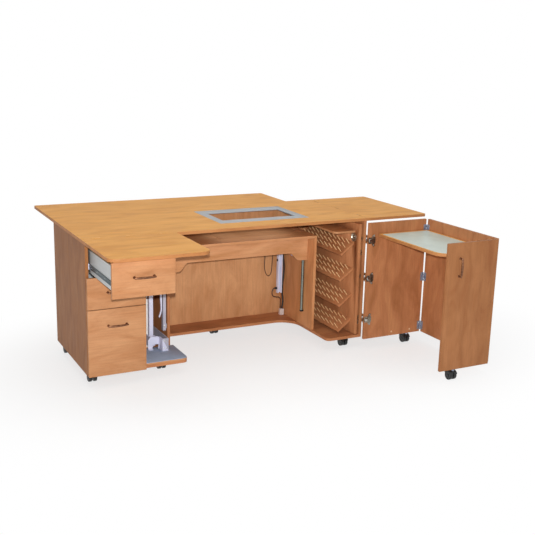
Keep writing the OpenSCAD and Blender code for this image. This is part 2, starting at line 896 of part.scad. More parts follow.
// Bow handle on the plane y = 0, its bar across X, standing out towards -Y
module bow_handle() {
    half = handle_cc / 2;
    rise = 8;
    r = (half * half + rise * rise) / (2 * rise);
    turn = asin(half / r);
    foot = handle_out - rise - handle_d / 2;
    for (s = [-1, 1])
        translate([s * half, 0, 0]) rotate([90, 0, 0]) {
            cylinder(d = handle_d + 3, h = 3);
            cylinder(d = handle_d, h = foot + 1);
            translate([0, 0, foot]) sphere(d = handle_d + 0.6);
        }
    translate([0, r - rise - foot, 0]) rotate([0, 0, -90 - turn])
        rotate_extrude(angle = 2 * turn) translate([r, 0]) circle(d = handle_d);
}

handle_c_x = a_end - 251;
handle_c_z = 628;

module door_handle() {
    color(bronze) placed()
        translate([handle_c_x, c_out, handle_c_z]) rotate([0, 90, 0]) bow_handle();
}

// Flap table between the doors
module flap_half(fixed) {
    hinge_half(hinge_l, 26, butt_t, flap_off, flap_knuckle, fixed);
}

flap_x1 = flap_ax_x + 0.5;
flap_x0 = flap_x1 - flap_d;
flap_y1 = ab_y - flap_side;
flap_y0 = bc_y + flap_side;

module flap_outline(inset) {
    r = max(flap_r - inset, 1);
    difference() {
        translate([flap_x0 + inset, flap_y0 + inset])
            square([flap_d - 2 * inset, flap_y1 - flap_y0 - 2 * inset]);
        translate([flap_x0 + inset, flap_y0 + inset]) corner_cut(r);
    }
}

module flap_table() {
    color(top_color) placed() difference() {
        plate_z(flap_top - flap_t, flap_t) flap_outline(0);
        plate_z(flap_top - flap_mat_t, flap_mat_t + 1) flap_outline(flap_rim);
    }
}

module flap_mat() {
    color("#c3cdc9") placed() plate_z(flap_top - flap_mat_t, flap_mat_t) flap_outline(flap_rim + 0.3);
}

module flap_hinges() {
    color(steel) placed() for (y = flap_hinge_ys)
        translate([flap_ax_x, y, flap_ax_z]) rotate([90, 0, 0]) flap_half(false);
}

// Machine lift
module lift_platform() {
    g = platform_gap;
    color(front_color) placed()
        block([x_well + g, y_well + g, shelf_z],
            [x_well + well_w - g, y_well + well_d - g, shelf_z + board]);
}

module lift_frame() {
    arm_z = shelf_z - 2 * frame_tube;
    x0 = x_well + 34;
    y1 = y_well + 38;
    y2 = y_well + well_d - 38 - frame_tube;
    z1 = frame_z + frame_h;
    slot_x = x_column + column_w / 2;
    c = slide_fit;
    inset = column_wall + c;
    color("#c9cdd2") placed() difference() {
        union() {
            translate([x_guide, y_guide, frame_z]) cylinder(r = bush_r, h = frame_h);
            block([x_bar, y_guide - 6, frame_z], [x_guide, y_guide + 6, z1]);
            block([x_bar, y_guide, frame_z], [x_bar + 8, y_column - 1.5, z1]);
            block([slot_x - slot_w / 2 + c, y_column - 2, frame_z],
                [slot_x + slot_w / 2 - c, y_column + inset + 1, z1]);
            block([x_column + inset, y_column + inset, frame_z],
                [x_column + column_w - inset, y_column + column_d - inset, z1]);
            block([x_bar, y_column - 9, frame_z], [slot_x + slot_w / 2 - c, y_column - 1.5, z1]);
            for (y = [y1, y2]) {
                block([x0, y, arm_z], [x_bar - 1, y + frame_tube, arm_z + frame_tube]);
                block([x0, y, arm_z], [x0 + frame_tube, y + frame_tube, shelf_z]);
                block([x_bar - frame_tube, y, frame_z], [x_bar + 1, y + frame_tube, shelf_z]);
            }
        }
        translate([x_guide, y_guide, frame_z - 1])
            cylinder(r = guide_d / 2 + pin_fit, h = frame_h + 2);
    }
}

// Compartment lift
module tray_outline() {
    side = 1.5;
    difference() {
        union() {
            translate([left_w + side, y_c]) square([comp_w - 2 * side, tray_d]);
            translate([x_knee_panel - 5, y_c])
                square([5 + board + tongue_w, tray_d]);
        }
        translate([x_knee + tongue_w, y_c]) rotate(90) corner_cut(base_r);
    }
}

module tray() {
    color(front_color) placed() plate_z(tray_z, tray_t) tray_outline();
    color("#8f939c") placed() plate_z(tray_z + tray_t, mat_t) tray_outline();
}

// Front bracket with its rounded top, seen from the front
module bracket_outline(w) {
    r = 28;
    difference() {
        square([w, bracket_h]);
        translate([0, bracket_h]) rotate(-90) corner_cut(r);
        translate([w, bracket_h]) rotate(180) corner_cut(r);
        translate([25, -1]) square([36, 27]);
    }
}

module tray_carriage() {
    c = slide_fit;
    x_l = upright_x - c - sleeve_t;
    x_r = upright_x + upright_w + c + sleeve_t;
    y_arch = y_up - 39;
    x_arch = x_l - 15;
    x_box = x_arch + 64;
    x_arm = rail_x - 8;
    y_box = y_arch - 53;
    sleeve_top = bracket_top - 6;
    color(white_steel) placed() {
        difference() {
            block([x_l, y_up - c - sleeve_t, sleeve_z],
                [x_r, y_up + upright_d + c + sleeve_t, sleeve_top]);
            block([upright_x - c, y_up - c, sleeve_z - 1],
                [upright_x + upright_w + c, y_up + upright_d + c, sleeve_top + 1]);
        }
        translate([x_arch, y_arch + 6, tray_low]) rotate([90, 0, 0]) linear_extrude(6)
            bracket_outline(75);
        for (x = [x_l, x_r - sleeve_t])
            block([x, y_arch + 5, sleeve_z + 24], [x + sleeve_t, y_up - c - 1, sleeve_top]);
        block([x_box, y_box, tray_low], [x_box + 5, y_arch + 1, bracket_top]);
        block([x_box, y_box, tray_low], [x_arm + 5, y_box + 6, bracket_top]);
        block([x_arm, y_box, tray_low + 20], [x_arm + 5, y_up + 138, bracket_top]);
        block([x_box, y_box, tray_low], [x_arm + 5, y_box + 30, tray_low + 3]);
        block([x_arch, y_arch - 14, tray_low], [x_arch + 25, y_arch + 1, tray_low + 3]);
    }
}

// Thread rack
module rack_section(z) {
    drop = rack_t / cos(shelf_tilt);
    n = rack_t * [sin(shelf_tilt), -cos(shelf_tilt)];
    polygon([[0, z], [-shelf_run, z - shelf_fall], [-shelf_run, z - shelf_fall] + n, [0, z - drop]]);
}

module along_y(y0, y1) {
    translate([0, y1, 0]) rotate([90, 0, 0]) linear_extrude(y1 - y0) children();
}

module thread_rack() {
    x = rack_board_x;
    color(inner_color) placed() {
        difference() {
            block([x, rack_y0, rack_z0], [x + board, rack_y1, rack_z1]);
            translate([x - 1, pull_y, pull_z]) rotate([0, 90, 0]) cylinder(d = pull_d - 8, h = 11);
        }
        plate_z(rack_top_z, rack_t) difference() {
            translate([x - rack_top_w, rack_y0 + 44]) square([rack_top_w, rack_y1 - rack_y0 - 44]);
            translate([x - rack_top_w, rack_y0 + 44]) corner_cut(30);
        }
        block([x - shelf_run - 8, shelf_y1, rack_z0], [x, rack_y1, rack_top_z]);
        for (k = [0:shelf_n - 1]) {
            z = shelf_high + k * shelf_pitch;
            translate([x, 0, 0]) along_y(shelf_y0, shelf_y1) rack_section(z);
        }
        for (z = rack_runner_zs)
            block([x + board, rack_y0 + 6, z + 3],
                [x_side - 6 - slide_fit, rack_y1 - 6, z + runner_h - 3]);
    }
}

module rack_pegs() {
    cols = floor((shelf_y1 - shelf_y0 - 50) / peg_pitch);
    color(peg_color) placed() for (k = [0:shelf_n - 1], row = [0:peg_rows - 1], col = [0:cols])
        translate([rack_board_x, shelf_y0 + 25 + col * peg_pitch, shelf_high + k * shelf_pitch])
            rotate([0, -shelf_tilt, 0])
                translate([-shelf_len * (row + 0.6) / (peg_rows + 0.2), 0, 0])
                    cylinder(d = peg_d, h = peg_l, $fn = 12);
}

pull_y = rack_y0 + 58;
pull_z = 659.5;

module rack_pull() {
    r = pull_d / 2;
    color("#b9b6ae") placed()
        translate([rack_board_x, pull_y, pull_z]) rotate([0, -90, 0]) rotate_extrude() {
            translate([r - 6, 0]) square([6, 2]);
            polygon([[0, -9], [r - 10, -9], [r - 4.3, -4], [r - 4.3, 0], [r - 6, 0], [r - 6, -3],
                [r - 11, -7], [0, -7]]);
        }
}

// Drawers, counted from the lowest up
module drawer_front(i) {
    z = front_zs[i];
    color(front_color) placed() translate([0, drawer_shift[i], 0])
        block([1, 0, z], [left_w - 1, board, z + front_hs[i] - 1]);
    color(bronze) placed() translate([154, drawer_shift[i], z + front_hs[i] - handle_drops[i]])
        bow_handle();
}

handle_drops = [88, 80, 76];

module drawer_box(i) {
    z0 = box_zs[i];
    z1 = z0 + box_hs[i];
    y0 = board;
    y1 = y0 + box_d;
    rail = 4 - slide_fit;
    color(white_steel) placed() translate([0, drawer_shift[i], 0]) {
        for (x = [box_x0, box_x1 - box_wall])
            block([x, y0, z0], [x + box_wall, y1, z1]);
        block([box_x0 - rail, y0 + 8, runner_zs[i] + 3], [box_x0, y1 - 6, runner_zs[i] + runner_h - 3]);
        block([box_x1, y0 + 8, runner_zs[i] + 3], [box_x1 + rail, y1 - 6, runner_zs[i] + runner_h - 3]);
        block([box_x0 + box_wall, y0, z0], [box_x1 - box_wall, y1, z0 + 12]);
        block([box_x0 + box_wall, y1 - 12, z0 + 12], [box_x1 - box_wall, y1, z1]);
    }
}

left_side_panel();
compartment_panels();
base_boards();
back_panels();
machine_shelf();
apron();
kneehole_right_panel();
right_side_panel();
main_top();
machine_insert();
front_leaf();
rear_leaf();
right_leaf();
fixed_hinge_plates();
front_leaf_hinges();
rear_leaf_hinges();
right_leaf_hinges();
steel_rails();
guide_tube();
lift_cables();
caster_plates();
door_a();
door_b();
door_c();
door_a_hardware();
door_b_hardware();
door_c_hardware();
door_handle();
flap_table();
flap_mat();
flap_hinges();
lift_platform();
lift_frame();
tray();
tray_carriage();
thread_rack();
rack_pegs();
rack_pull();
for (i = [0:2]) {
    drawer_front(i);
    drawer_box(i);
}
for (i = [0:7]) {
    caster_housing(i);
    caster_wheels(i);
}
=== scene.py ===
import math

import bmesh
import bpy
from mathutils import Matrix, Vector


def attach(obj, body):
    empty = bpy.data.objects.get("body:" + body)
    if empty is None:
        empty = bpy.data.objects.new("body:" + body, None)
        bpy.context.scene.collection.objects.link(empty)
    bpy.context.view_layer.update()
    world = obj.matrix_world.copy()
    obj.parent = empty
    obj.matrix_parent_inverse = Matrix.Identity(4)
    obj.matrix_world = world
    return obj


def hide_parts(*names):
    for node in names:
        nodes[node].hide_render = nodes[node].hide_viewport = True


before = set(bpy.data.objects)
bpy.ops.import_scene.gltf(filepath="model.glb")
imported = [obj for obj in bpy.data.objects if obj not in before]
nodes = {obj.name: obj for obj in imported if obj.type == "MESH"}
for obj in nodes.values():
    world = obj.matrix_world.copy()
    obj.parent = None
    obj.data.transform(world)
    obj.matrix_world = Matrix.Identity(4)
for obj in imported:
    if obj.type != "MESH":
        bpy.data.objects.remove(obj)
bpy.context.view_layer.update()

mm = 0.001

# The cabinet's own corner is the outer front left edge of its drawer fronts,
# and every size below is in millimetres from it, as in the workshop drawing
originX, originY = 1025.0, 178.5


def place(x, y, z):
    return Vector(((x - originX) * mm, (y - originY) * mm, z * mm))


# Materials

def linear(hexColor):
    def channel(c):
        return c / 12.92 if c <= 0.04045 else ((c + 0.055) / 1.055) ** 2.4
    h = hexColor.lstrip("#")
    return tuple(channel(int(h[i:i + 2], 16) / 255) for i in (0, 2, 4)) + (1.0,)


def newMaterial(name):
    material = bpy.data.materials.new(name)
    material.use_nodes = True
    material.node_tree.nodes.clear()
    return material


def addNode(material, kind, settings=None, links=None):
    # settings are properties or socket values, links are socket: (node, output)
    tree = material.node_tree
    node = tree.nodes.new(kind)
    for key, value in (settings or {}).items():
        if isinstance(key, str) and hasattr(node, key):
            setattr(node, key, value)
        else:
            node.inputs[key].default_value = value
    for key, (source, output) in (links or {}).items():
        tree.links.new(source.outputs[output], node.inputs[key])
    return node


def rampOf(node, stops):
    ramp = node.color_ramp
    ramp.elements[0].position, ramp.elements[0].color = stops[0]
    ramp.elements[1].position, ramp.elements[1].color = stops[-1]
    for position, color in stops[1:-1]:
        ramp.elements.new(position).color = color
    return node


def gray(value):
    return (value, value, value, 1.0)


laminate = {
    "figureAcross": 0.085,   # width of the cloudy figure, metres
    "figureAlong": 0.26,     # length of the cloudy figure
    "streakAcross": 0.0075,  # width of a growth streak, drawn coarser than real so that it shows
    "streakAlong": 0.16,
    "fleckAcross": 0.0016,   # the small dashes that beech is known by
    "fleckAlong": 0.010,
    "rough": 0.52,
}


def beechLaminate(name, light, mid, dark, grain, contrast, shift=0.0):
    # Melamine board with a printed beech figure: calm cloudy bands, fine streaks, short flecks,
    # and the soft sheen of a pressed surface
    material = newMaterial(name)
    across = {"X": (1, 0, 0), "Y": (0, 1, 0), "Z": (0, 0, 1)}[grain]

    def scaled(cross, along):
        return tuple(1 / along if a else 1 / cross for a in across)

    where = addNode(material, "ShaderNodeTexCoord")

    def layer(cross, along, detail, offset, distortion=0.0):
        mapped = addNode(material, "ShaderNodeMapping",
                         {"Scale": scaled(cross, along), "Location": (offset, offset * 0.7, offset * 1.3)},
                         {"Vector": (where, "Object")})
        return addNode(material, "ShaderNodeTexNoise",
                       {"Scale": 1.0, "Detail": detail, "Roughness": 0.55, "Distortion": distortion},
                       {"Vector": (mapped, "Vector")})

    figure = layer(laminate["figureAcross"], laminate["figureAlong"], 3.0, 3.1 + shift, 0.9)
    streak = layer(laminate["streakAcross"], laminate["streakAlong"], 2.0, 7.7 + shift, 0.3)
    fleck = layer(laminate["fleckAcross"], laminate["fleckAlong"], 1.0, 1.9 + shift)
    tone = rampOf(addNode(material, "ShaderNodeValToRGB", None, {"Fac": (figure, "Fac")}),
                  [(0.30, linear(dark)), (0.50, linear(mid)), (0.70, linear(light))])
    streakTone = rampOf(addNode(material, "ShaderNodeValToRGB", None, {"Fac": (streak, "Fac")}),
                        [(0.35, gray(1 - 0.13 * contrast)), (0.62, gray(1.0))])
    fleckTone = rampOf(addNode(material, "ShaderNodeValToRGB", None, {"Fac": (fleck, "Fac")}),
                       [(0.30, gray(1 - 0.16 * contrast)), (0.40, gray(1.0))])
    first = addNode(material, "ShaderNodeMix", {"data_type": "RGBA", "blend_type": "MULTIPLY", 0: 1.0},
                    {6: (tone, "Color"), 7: (streakTone, "Color")})
    second = addNode(material, "ShaderNodeMix", {"data_type": "RGBA", "blend_type": "MULTIPLY", 0: 1.0},
                     {6: (first, 2), 7: (fleckTone, "Color")})
    sheen = addNode(material, "ShaderNodeMapRange",
                    {"From Min": 0.3, "From Max": 0.7, "To Min": laminate["rough"] - 0.05,
                     "To Max": laminate["rough"] + 0.07}, {"Value": (streak, "Fac")})
    pores = addNode(material, "ShaderNodeBump", {"Strength": 0.10, "Distance": 0.0002},
                    {"Height": (fleck, "Fac")})
    skin = addNode(material, "ShaderNodeBsdfPrincipled", {"IOR": 1.5, "Specular IOR Level": 0.16},
                   {"Base Color": (second, 2), "Roughness": (sheen, "Result"), "Normal": (pores, "Normal")})
    addNode(material, "ShaderNodeOutputMaterial", None, {"Surface": (skin, "BSDF")})
    return material


def solidFinish(name, light, dark, rough, patch=0.03, grainSize=0.0008, bump=0.05, metallic=0.0,
                streakAxis=None, ior=1.5, alpha=1.0):
    # One material with two close tones in patches, and a fine grain that roughens and lifts it
    material = newMaterial(name)
    where = addNode(material, "ShaderNodeTexCoord")
    clouds = addNode(material, "ShaderNodeTexNoise", {"Scale": 1 / patch, "Detail": 3.0},
                     {"Vector": (where, "Object")})
    stretch = [1 / grainSize] * 3
    if streakAxis is not None:
        stretch[streakAxis] = 1 / (grainSize * 40)  # brushing draws each scratch out
    mapped = addNode(material, "ShaderNodeMapping", {"Scale": tuple(stretch)}, {"Vector": (where, "Object")})
    grains = addNode(material, "ShaderNodeTexNoise", {"Scale": 1.0, "Detail": 2.0},
                     {"Vector": (mapped, "Vector")})
    tone = rampOf(addNode(material, "ShaderNodeValToRGB", None, {"Fac": (clouds, "Fac")}),
                  [(0.3, linear(dark)), (0.7, linear(light))])
    roughness = addNode(material, "ShaderNodeMapRange",
                        {"From Min": 0.3, "From Max": 0.7, "To Min": rough - 0.06, "To Max": rough + 0.06},
                        {"Value": (grains, "Fac")})
    relief = addNode(material, "ShaderNodeBump", {"Strength": bump, "Distance": 0.0003},
                     {"Height": (grains, "Fac")})
    skin = addNode(material, "ShaderNodeBsdfPrincipled", {"Metallic": metallic, "Alpha": alpha},
                   {"Base Color": (tone, "Color"), "Roughness": (roughness, "Result"),
                    "Normal": (relief, "Normal")})
    if not metallic:
        skin.inputs["IOR"].default_value = ior
    addNode(material, "ShaderNodeOutputMaterial", None, {"Surface": (skin, "BSDF")})
    return material


# The same printed beech all over, with painted light and shade: each face gets its own copy, lighter or
# darker, in the tone that it shows under the lamp
topTones = ("#eaaa58", "#e2a14e", "#d59343")
frontTones = ("#c28e64", "#b9845b", "#ad764d")
shelfTones = ("#d09a6e", "#c78f64", "#ba8255")
kneeTones = ("#d39767", "#c88b5c", "#b87c50")
endDoorTones = ("#ad754c", "#a26c44", "#965f3a")
backTones = ("#d49d6f", "#ca9366", "#bf8659")
innerTones = ("#c08458", "#b57850", "#a56b44")
topLaminateX = beechLaminate("beechTopLaminate", *topTones, "X", 0.6)
# Banding along the edges of the top and its leaves, a shade browner than their faces
topEdgeX = beechLaminate("beechEdgeBanding", "#c08453", "#b67b4b", "#a96f41", "X", 0.4, 8.0)
frontLaminateX = beechLaminate("beechFrontAcross", *frontTones, "X", 0.7, 5.0)
endDoorLaminateZ = beechLaminate("beechEndDoorUpright", *endDoorTones, "Z", 0.7, 2.0)
backLaminateZ = beechLaminate("beechBackUpright", *backTones, "Z", 0.8, 3.0)
innerLaminateZ = beechLaminate("beechInnerUpright", *innerTones, "Z", 0.8, 9.0)
kneeLaminateZ = beechLaminate("beechKneeholeUpright", *kneeTones, "Z", 0.8, 11.0)
shelfLaminateX = beechLaminate("beechShelfAcross", *shelfTones, "X", 0.7, 6.0)
innerLaminateX = beechLaminate("beechInnerAcross", *innerTones, "X", 0.8, 4.0)
innerLaminateY = beechLaminate("beechInnerDeep", *innerTones, "Y", 0.8, 6.0)
# The left side's own copy of the beech: painted light and shade, like the copies above
sideLaminateZ = beechLaminate("beechSideUpright", "#a36e43", "#99643a", "#8a5730", "Z", 0.7, 1.0)
# Frosted acrylic: milky, half clear, with a soft sheen
frostedAcrylic = solidFinish("frostedAcrylic", "#bfc7cb", "#b2babf", 0.34, patch=0.2, bump=0.02,
                             ior=1.49, alpha=0.62)
# Powder coat: cool white, with a faint orange peel that softens each highlight
whitePowderCoat = solidFinish("whitePowderCoat", "#d6d7ea", "#cacbdf", 0.38, patch=0.12,
                              grainSize=0.0012, bump=0.12)
# Painted strip: smooth, and the brightest white in the compartment; the extra brightness is painted light for
# the light that falls on the strip behind the upright
stripWhitePaintedLight = solidFinish("whiteSteelStripPaintedLight", "#f4f2ee", "#eae8e4", 0.40, patch=0.1, bump=0.05)
# Powder coat again, in grey: cool on the slimmer rail, neutral on the drawers' sides
grayPowderCoat = solidFinish("grayPowderCoat", "#b2b0bd", "#a2a0ad", 0.42, patch=0.08,
                             grainSize=0.0012, bump=0.12)
drawerSteel = solidFinish("drawerSidePowderCoat", "#bcc0c0", "#b0b4b4", 0.40, patch=0.12,
                          grainSize=0.0012, bump=0.12)
# Galvanised steel: pale blue-grey with a broad, dull shine
galvanised = solidFinish("galvanisedSteel", "#b4bcc2", "#9aa4ab", 0.38, patch=0.02, metallic=1.0,
                         grainSize=0.004, bump=0.04)
# Zinc plate: blue-grey, finely lined from drawing
zincPlate = solidFinish("zincPlatedSteel", "#a3aabb", "#7d8597", 0.32, patch=0.02, metallic=0.6,
                        grainSize=0.0004, streakAxis=2)
# Phosphated steel: dark blue-green, nearly matt
runnerSteel = solidFinish("phosphatedRunnerSteel", "#33494f", "#21343a", 0.38, patch=0.02, metallic=0.4,
                          grainSize=0.004, bump=0.04)
# Nickel plate: bright and slightly warm, with fine polishing lines
nickelPlate = solidFinish("nickelPlatedSteel", "#cfcdc6", "#b3b0a8", 0.24, patch=0.03, metallic=1.0,
                          grainSize=0.0004, streakAxis=2)
# Antique nickel: warm and dulled, darker in small patches
antiqueNickel = solidFinish("antiqueNickel", "#b0a695", "#7a7164", 0.36, patch=0.008, metallic=1.0,
                            grainSize=0.0006, bump=0.08)
# Brass plate: a soft yellow line along the seams of the leaves
seamBrass = solidFinish("brassPlatedSeamHinge", "#c89a66", "#b98a54", 0.45, patch=0.01, metallic=1.0,
                        grainSize=0.0005, bump=0.05)
# Die-cast zinc plated dark bronze: brown, with a broken highlight along the bow
darkBronze = solidFinish("darkBronzeZinc", "#8f6348", "#593a29", 0.36, patch=0.012, metallic=0.75,
                         grainSize=0.0005, bump=0.06)
# Drawn steel: long fine lines down the tube
drawnTube = solidFinish("drawnSteelTube", "#8f9791", "#7a827d", 0.30, patch=0.05, metallic=1.0,
                        grainSize=0.0004, streakAxis=2)
# Satin nickel: pale, its highlight spread wide
satinCup = solidFinish("satinNickelCup", "#d8d4c9", "#bcb7aa", 0.30, patch=0.02, metallic=1.0)
# Moulded ABS: black, with a fine texture that keeps it dull
blackAbs = solidFinish("blackMouldedAbs", "#161617", "#0f0f10", 0.45, patch=0.02, grainSize=0.0009, bump=0.15)
# Nylon: black and smooth, so that the treads show one soft highlight
blackNylon = solidFinish("blackNylonTread", "#121213", "#0b0b0c", 0.34, patch=0.01, grainSize=0.0006)
# PVC sheaths: brown-black, with a plastic gloss
cableSheath = solidFinish("pvcCableSheath", "#2f2623", "#1d1715", 0.42, patch=0.02, bump=0.03)
thinWire = solidFinish("brownWireSheath", "#4a3324", "#35241a", 0.45, patch=0.02, bump=0.03)
# Rubber: matt blue-grey with a coarse grain, and vinyl: pale green-grey and smoother
matGray = solidFinish("ribbedMatRubber", "#9fafc6", "#92a0b6", 0.72, patch=0.06, grainSize=0.0016, bump=0.35)
matPale = solidFinish("paleVinylMat", "#cdd9ce", "#c1cdc2", 0.34, patch=0.09, grainSize=0.001, bump=0.04)
# Moulded caps and clips: pale, even, a little glossy
capBeige = solidFinish("mouldedCoverCap", "#dcb892", "#cfa87f", 0.45, patch=0.004, bump=0.03)
clipPlastic = solidFinish("paleClipAbs", "#dccfca", "#cbbdb8", 0.42, patch=0.01)
# Turned beech, unvarnished: pale, with its pores as fine grain
pegWood = solidFinish("turnedBeechPeg", "#dbb284", "#c99a68", 0.5, patch=0.01, grainSize=0.0006, bump=0.1)

# Mesh helpers


def addObject(name, data):
    obj = bpy.data.objects.new(name, data)
    bpy.context.scene.collection.objects.link(obj)
    return obj


def meshObject(name, mesh, material, body, stands):
    obj = addObject(name, mesh)
    mesh.materials.append(material)
    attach(obj, body)
    if stands:
        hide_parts(*stands)
    return obj


def smoothBelow(mesh, degrees=32):
    limit = math.radians(degrees)
    bm = bmesh.new()
    bm.from_mesh(mesh)
    for face in bm.faces:
        face.smooth = True
    for edge in bm.edges:
        edge.smooth = len(edge.link_faces) == 2 and edge.calc_face_angle(0.0) < limit
    bm.to_mesh(mesh)
    bm.free()


def finishMesh(bm, name, bevel=0.0):
    bmesh.ops.remove_doubles(bm, verts=bm.verts, dist=1e-7)
    bmesh.ops.recalc_face_normals(bm, faces=bm.faces)
    if bevel:
        edges = [e for e in bm.edges
                 if len(e.link_faces) == 2 and e.calc_face_angle(0.0) > math.radians(30)]
        bmesh.ops.bevel(bm, geom=edges, offset=bevel * mm, segments=2, profile=0.6,
                        affect="EDGES", clamp_overlap=True)
    mesh = bpy.data.meshes.new(name)
    bm.to_mesh(mesh)
    bm.free()
    smoothBelow(mesh)
    return mesh


def finishPiece(name, bm, material, body, stands, bevel=0.0):
    return meshObject(name, finishMesh(bm, name, bevel), material, body, stands)


def addBlock(bm, low, high):
    a, b = place(*low), place(*high)
    corners = [bm.verts.new((x, y, z)) for z in (a.z, b.z) for y in (a.y, b.y) for x in (a.x, b.x)]
    for quad in ((0, 2, 3, 1), (4, 5, 7, 6), (0, 1, 5, 4), (2, 6, 7, 3), (0, 4, 6, 2), (1, 3, 7, 5)):
        bm.faces.new([corners[i] for i in quad])


def blockMesh(name, low, high, bevel):
    bm = bmesh.new()
    addBlock(bm, low, high)
    return finishMesh(bm, name, bevel)


def arc(cx, cy, radius, start, end):
    steps = 10
    return [(cx + radius * math.cos(math.radians(start + (end - start) * i / steps)),
             cy + radius * math.sin(math.radians(start + (end - start) * i / steps)))
            for i in range(steps + 1)]


def addPrism(bm, outline, low, high, axis):
    # outline is in the two other axes in X, Y, Z order
    def corner(a, b, c):
        return {"Z": (a, b, c), "Y": (a, c, b), "X": (c, a, b)}[axis]
    lower = [bm.verts.new(place(*corner(a, b, low))) for a, b in outline]
    upper = [bm.verts.new(place(*corner(a, b, high))) for a, b in outline]
    bm.faces.new(lower[::-1])
    bm.faces.new(upper)
    for i in range(len(outline)):
        j = (i + 1) % len(outline)
        bm.faces.new([lower[i], lower[j], upper[j], upper[i]])


def prismMesh(name, outline, low, high, bevel=0.6):
    bm = bmesh.new()
    addPrism(bm, outline, low, high, "Z")
    return finishMesh(bm, name, bevel)


def addTurned(bm, profile, sides, move, closed=False):
    # A profile turned round the Z axis; move puts each point in its place
    rings = []
    for radius, height in profile:
        count = sides if radius > 1e-6 else 1
        rings.append([bm.verts.new(move(Vector((radius * mm * math.cos(2 * math.pi * k / sides),
                                                radius * mm * math.sin(2 * math.pi * k / sides),
                                                height * mm)))) for k in range(count)])
    pairs = list(zip(rings, rings[1:]))
    if closed:
        pairs.append((rings[-1], rings[0]))
    for a, b in pairs:
        for k in range(sides):
            j = (k + 1) % sides
            loop = [a[k % len(a)], a[j % len(a)], b[j % len(b)], b[k % len(b)]]
            kept = [v for i, v in enumerate(loop) if v not in loop[:i]]
            if len(kept) > 2:
                bm.faces.new(kept)


def addLathe(bm, profile, centre, axis, sides, closed=False):
    # profile is (radius, height along the axis) from one end to the other, in millimetres
    turn = {"Z": Matrix(), "X": Matrix.Rotation(math.radians(90), 4, "Y"),
            "-Y": Matrix.Rotation(math.radians(90), 4, "X"),
            "-X": Matrix.Rotation(math.radians(-90), 4, "Y")}[axis]
    at = place(*centre)
    addTurned(bm, profile, sides, lambda point: at + turn @ point, closed)


def latheMesh(name, profile, centre, axis, sides, closed=False):
    bm = bmesh.new()
    addLathe(bm, profile, centre, axis, sides, closed)
    return finishMesh(bm, name)


def addSweep(bm, route, radii, sides):
    # A round bar along a route; radii holds one value or one for each point
    points = [Vector(p) for p in route]
    frameUp = None
    rings = []
    for i, point in enumerate(points):
        way = (points[min(i + 1, len(points) - 1)] - points[max(i - 1, 0)]).normalized()
        if frameUp is None:
            frameUp = way.orthogonal().normalized()
        frameUp = (frameUp - way * frameUp.dot(way)).normalized()
        side = way.cross(frameUp)
        radius = (radii[i] if isinstance(radii, (list, tuple)) else radii) * mm
        rings.append([bm.verts.new(point + radius * (math.cos(2 * math.pi * k / sides) * frameUp
                                                     + math.sin(2 * math.pi * k / sides) * side))
                      for k in range(sides)])
    for a, b in zip(rings, rings[1:]):
        for k in range(sides):
            bm.faces.new([a[k], a[(k + 1) % sides], b[(k + 1) % sides], b[k]])
    bm.faces.new(rings[0][::-1])
    bm.faces.new(rings[-1])


def smoothRoute(points, perSpan):
    # A curve through given points
    dense = []
    for i in range(len(points) - 1):
        p0, p1 = Vector(points[max(i - 1, 0)]), Vector(points[i])
        p2, p3 = Vector(points[i + 1]), Vector(points[min(i + 2, len(points) - 1)])
        for k in range(perSpan):
            t = k / perSpan
            dense.append(0.5 * ((2 * p1) + (p2 - p0) * t + (2 * p0 - 5 * p1 + 4 * p2 - p3) * t * t
                                + (3 * p1 - p0 - 3 * p2 + p3) * t * t * t))
    dense.append(Vector(points[-1]))
    return dense


def dress(name, material, bevel):
    # A node keeps its CAD mesh; its arrises are broken by a small live bevel
    obj = nodes[name]
    obj.data.materials.clear()
    obj.data.materials.append(material)
    weld = obj.modifiers.new("joinTriangles", "WELD")
    weld.merge_threshold = 1e-6
    soft = obj.modifiers.new("brokenArris", "BEVEL")
    soft.width = bevel * mm
    soft.segments = 2
    soft.limit_method = "ANGLE"
    soft.angle_limit = math.radians(40)
    soft.harden_normals = True
    return obj


# Repeated small pieces come from geometry node trees: one shape on each point of a mesh

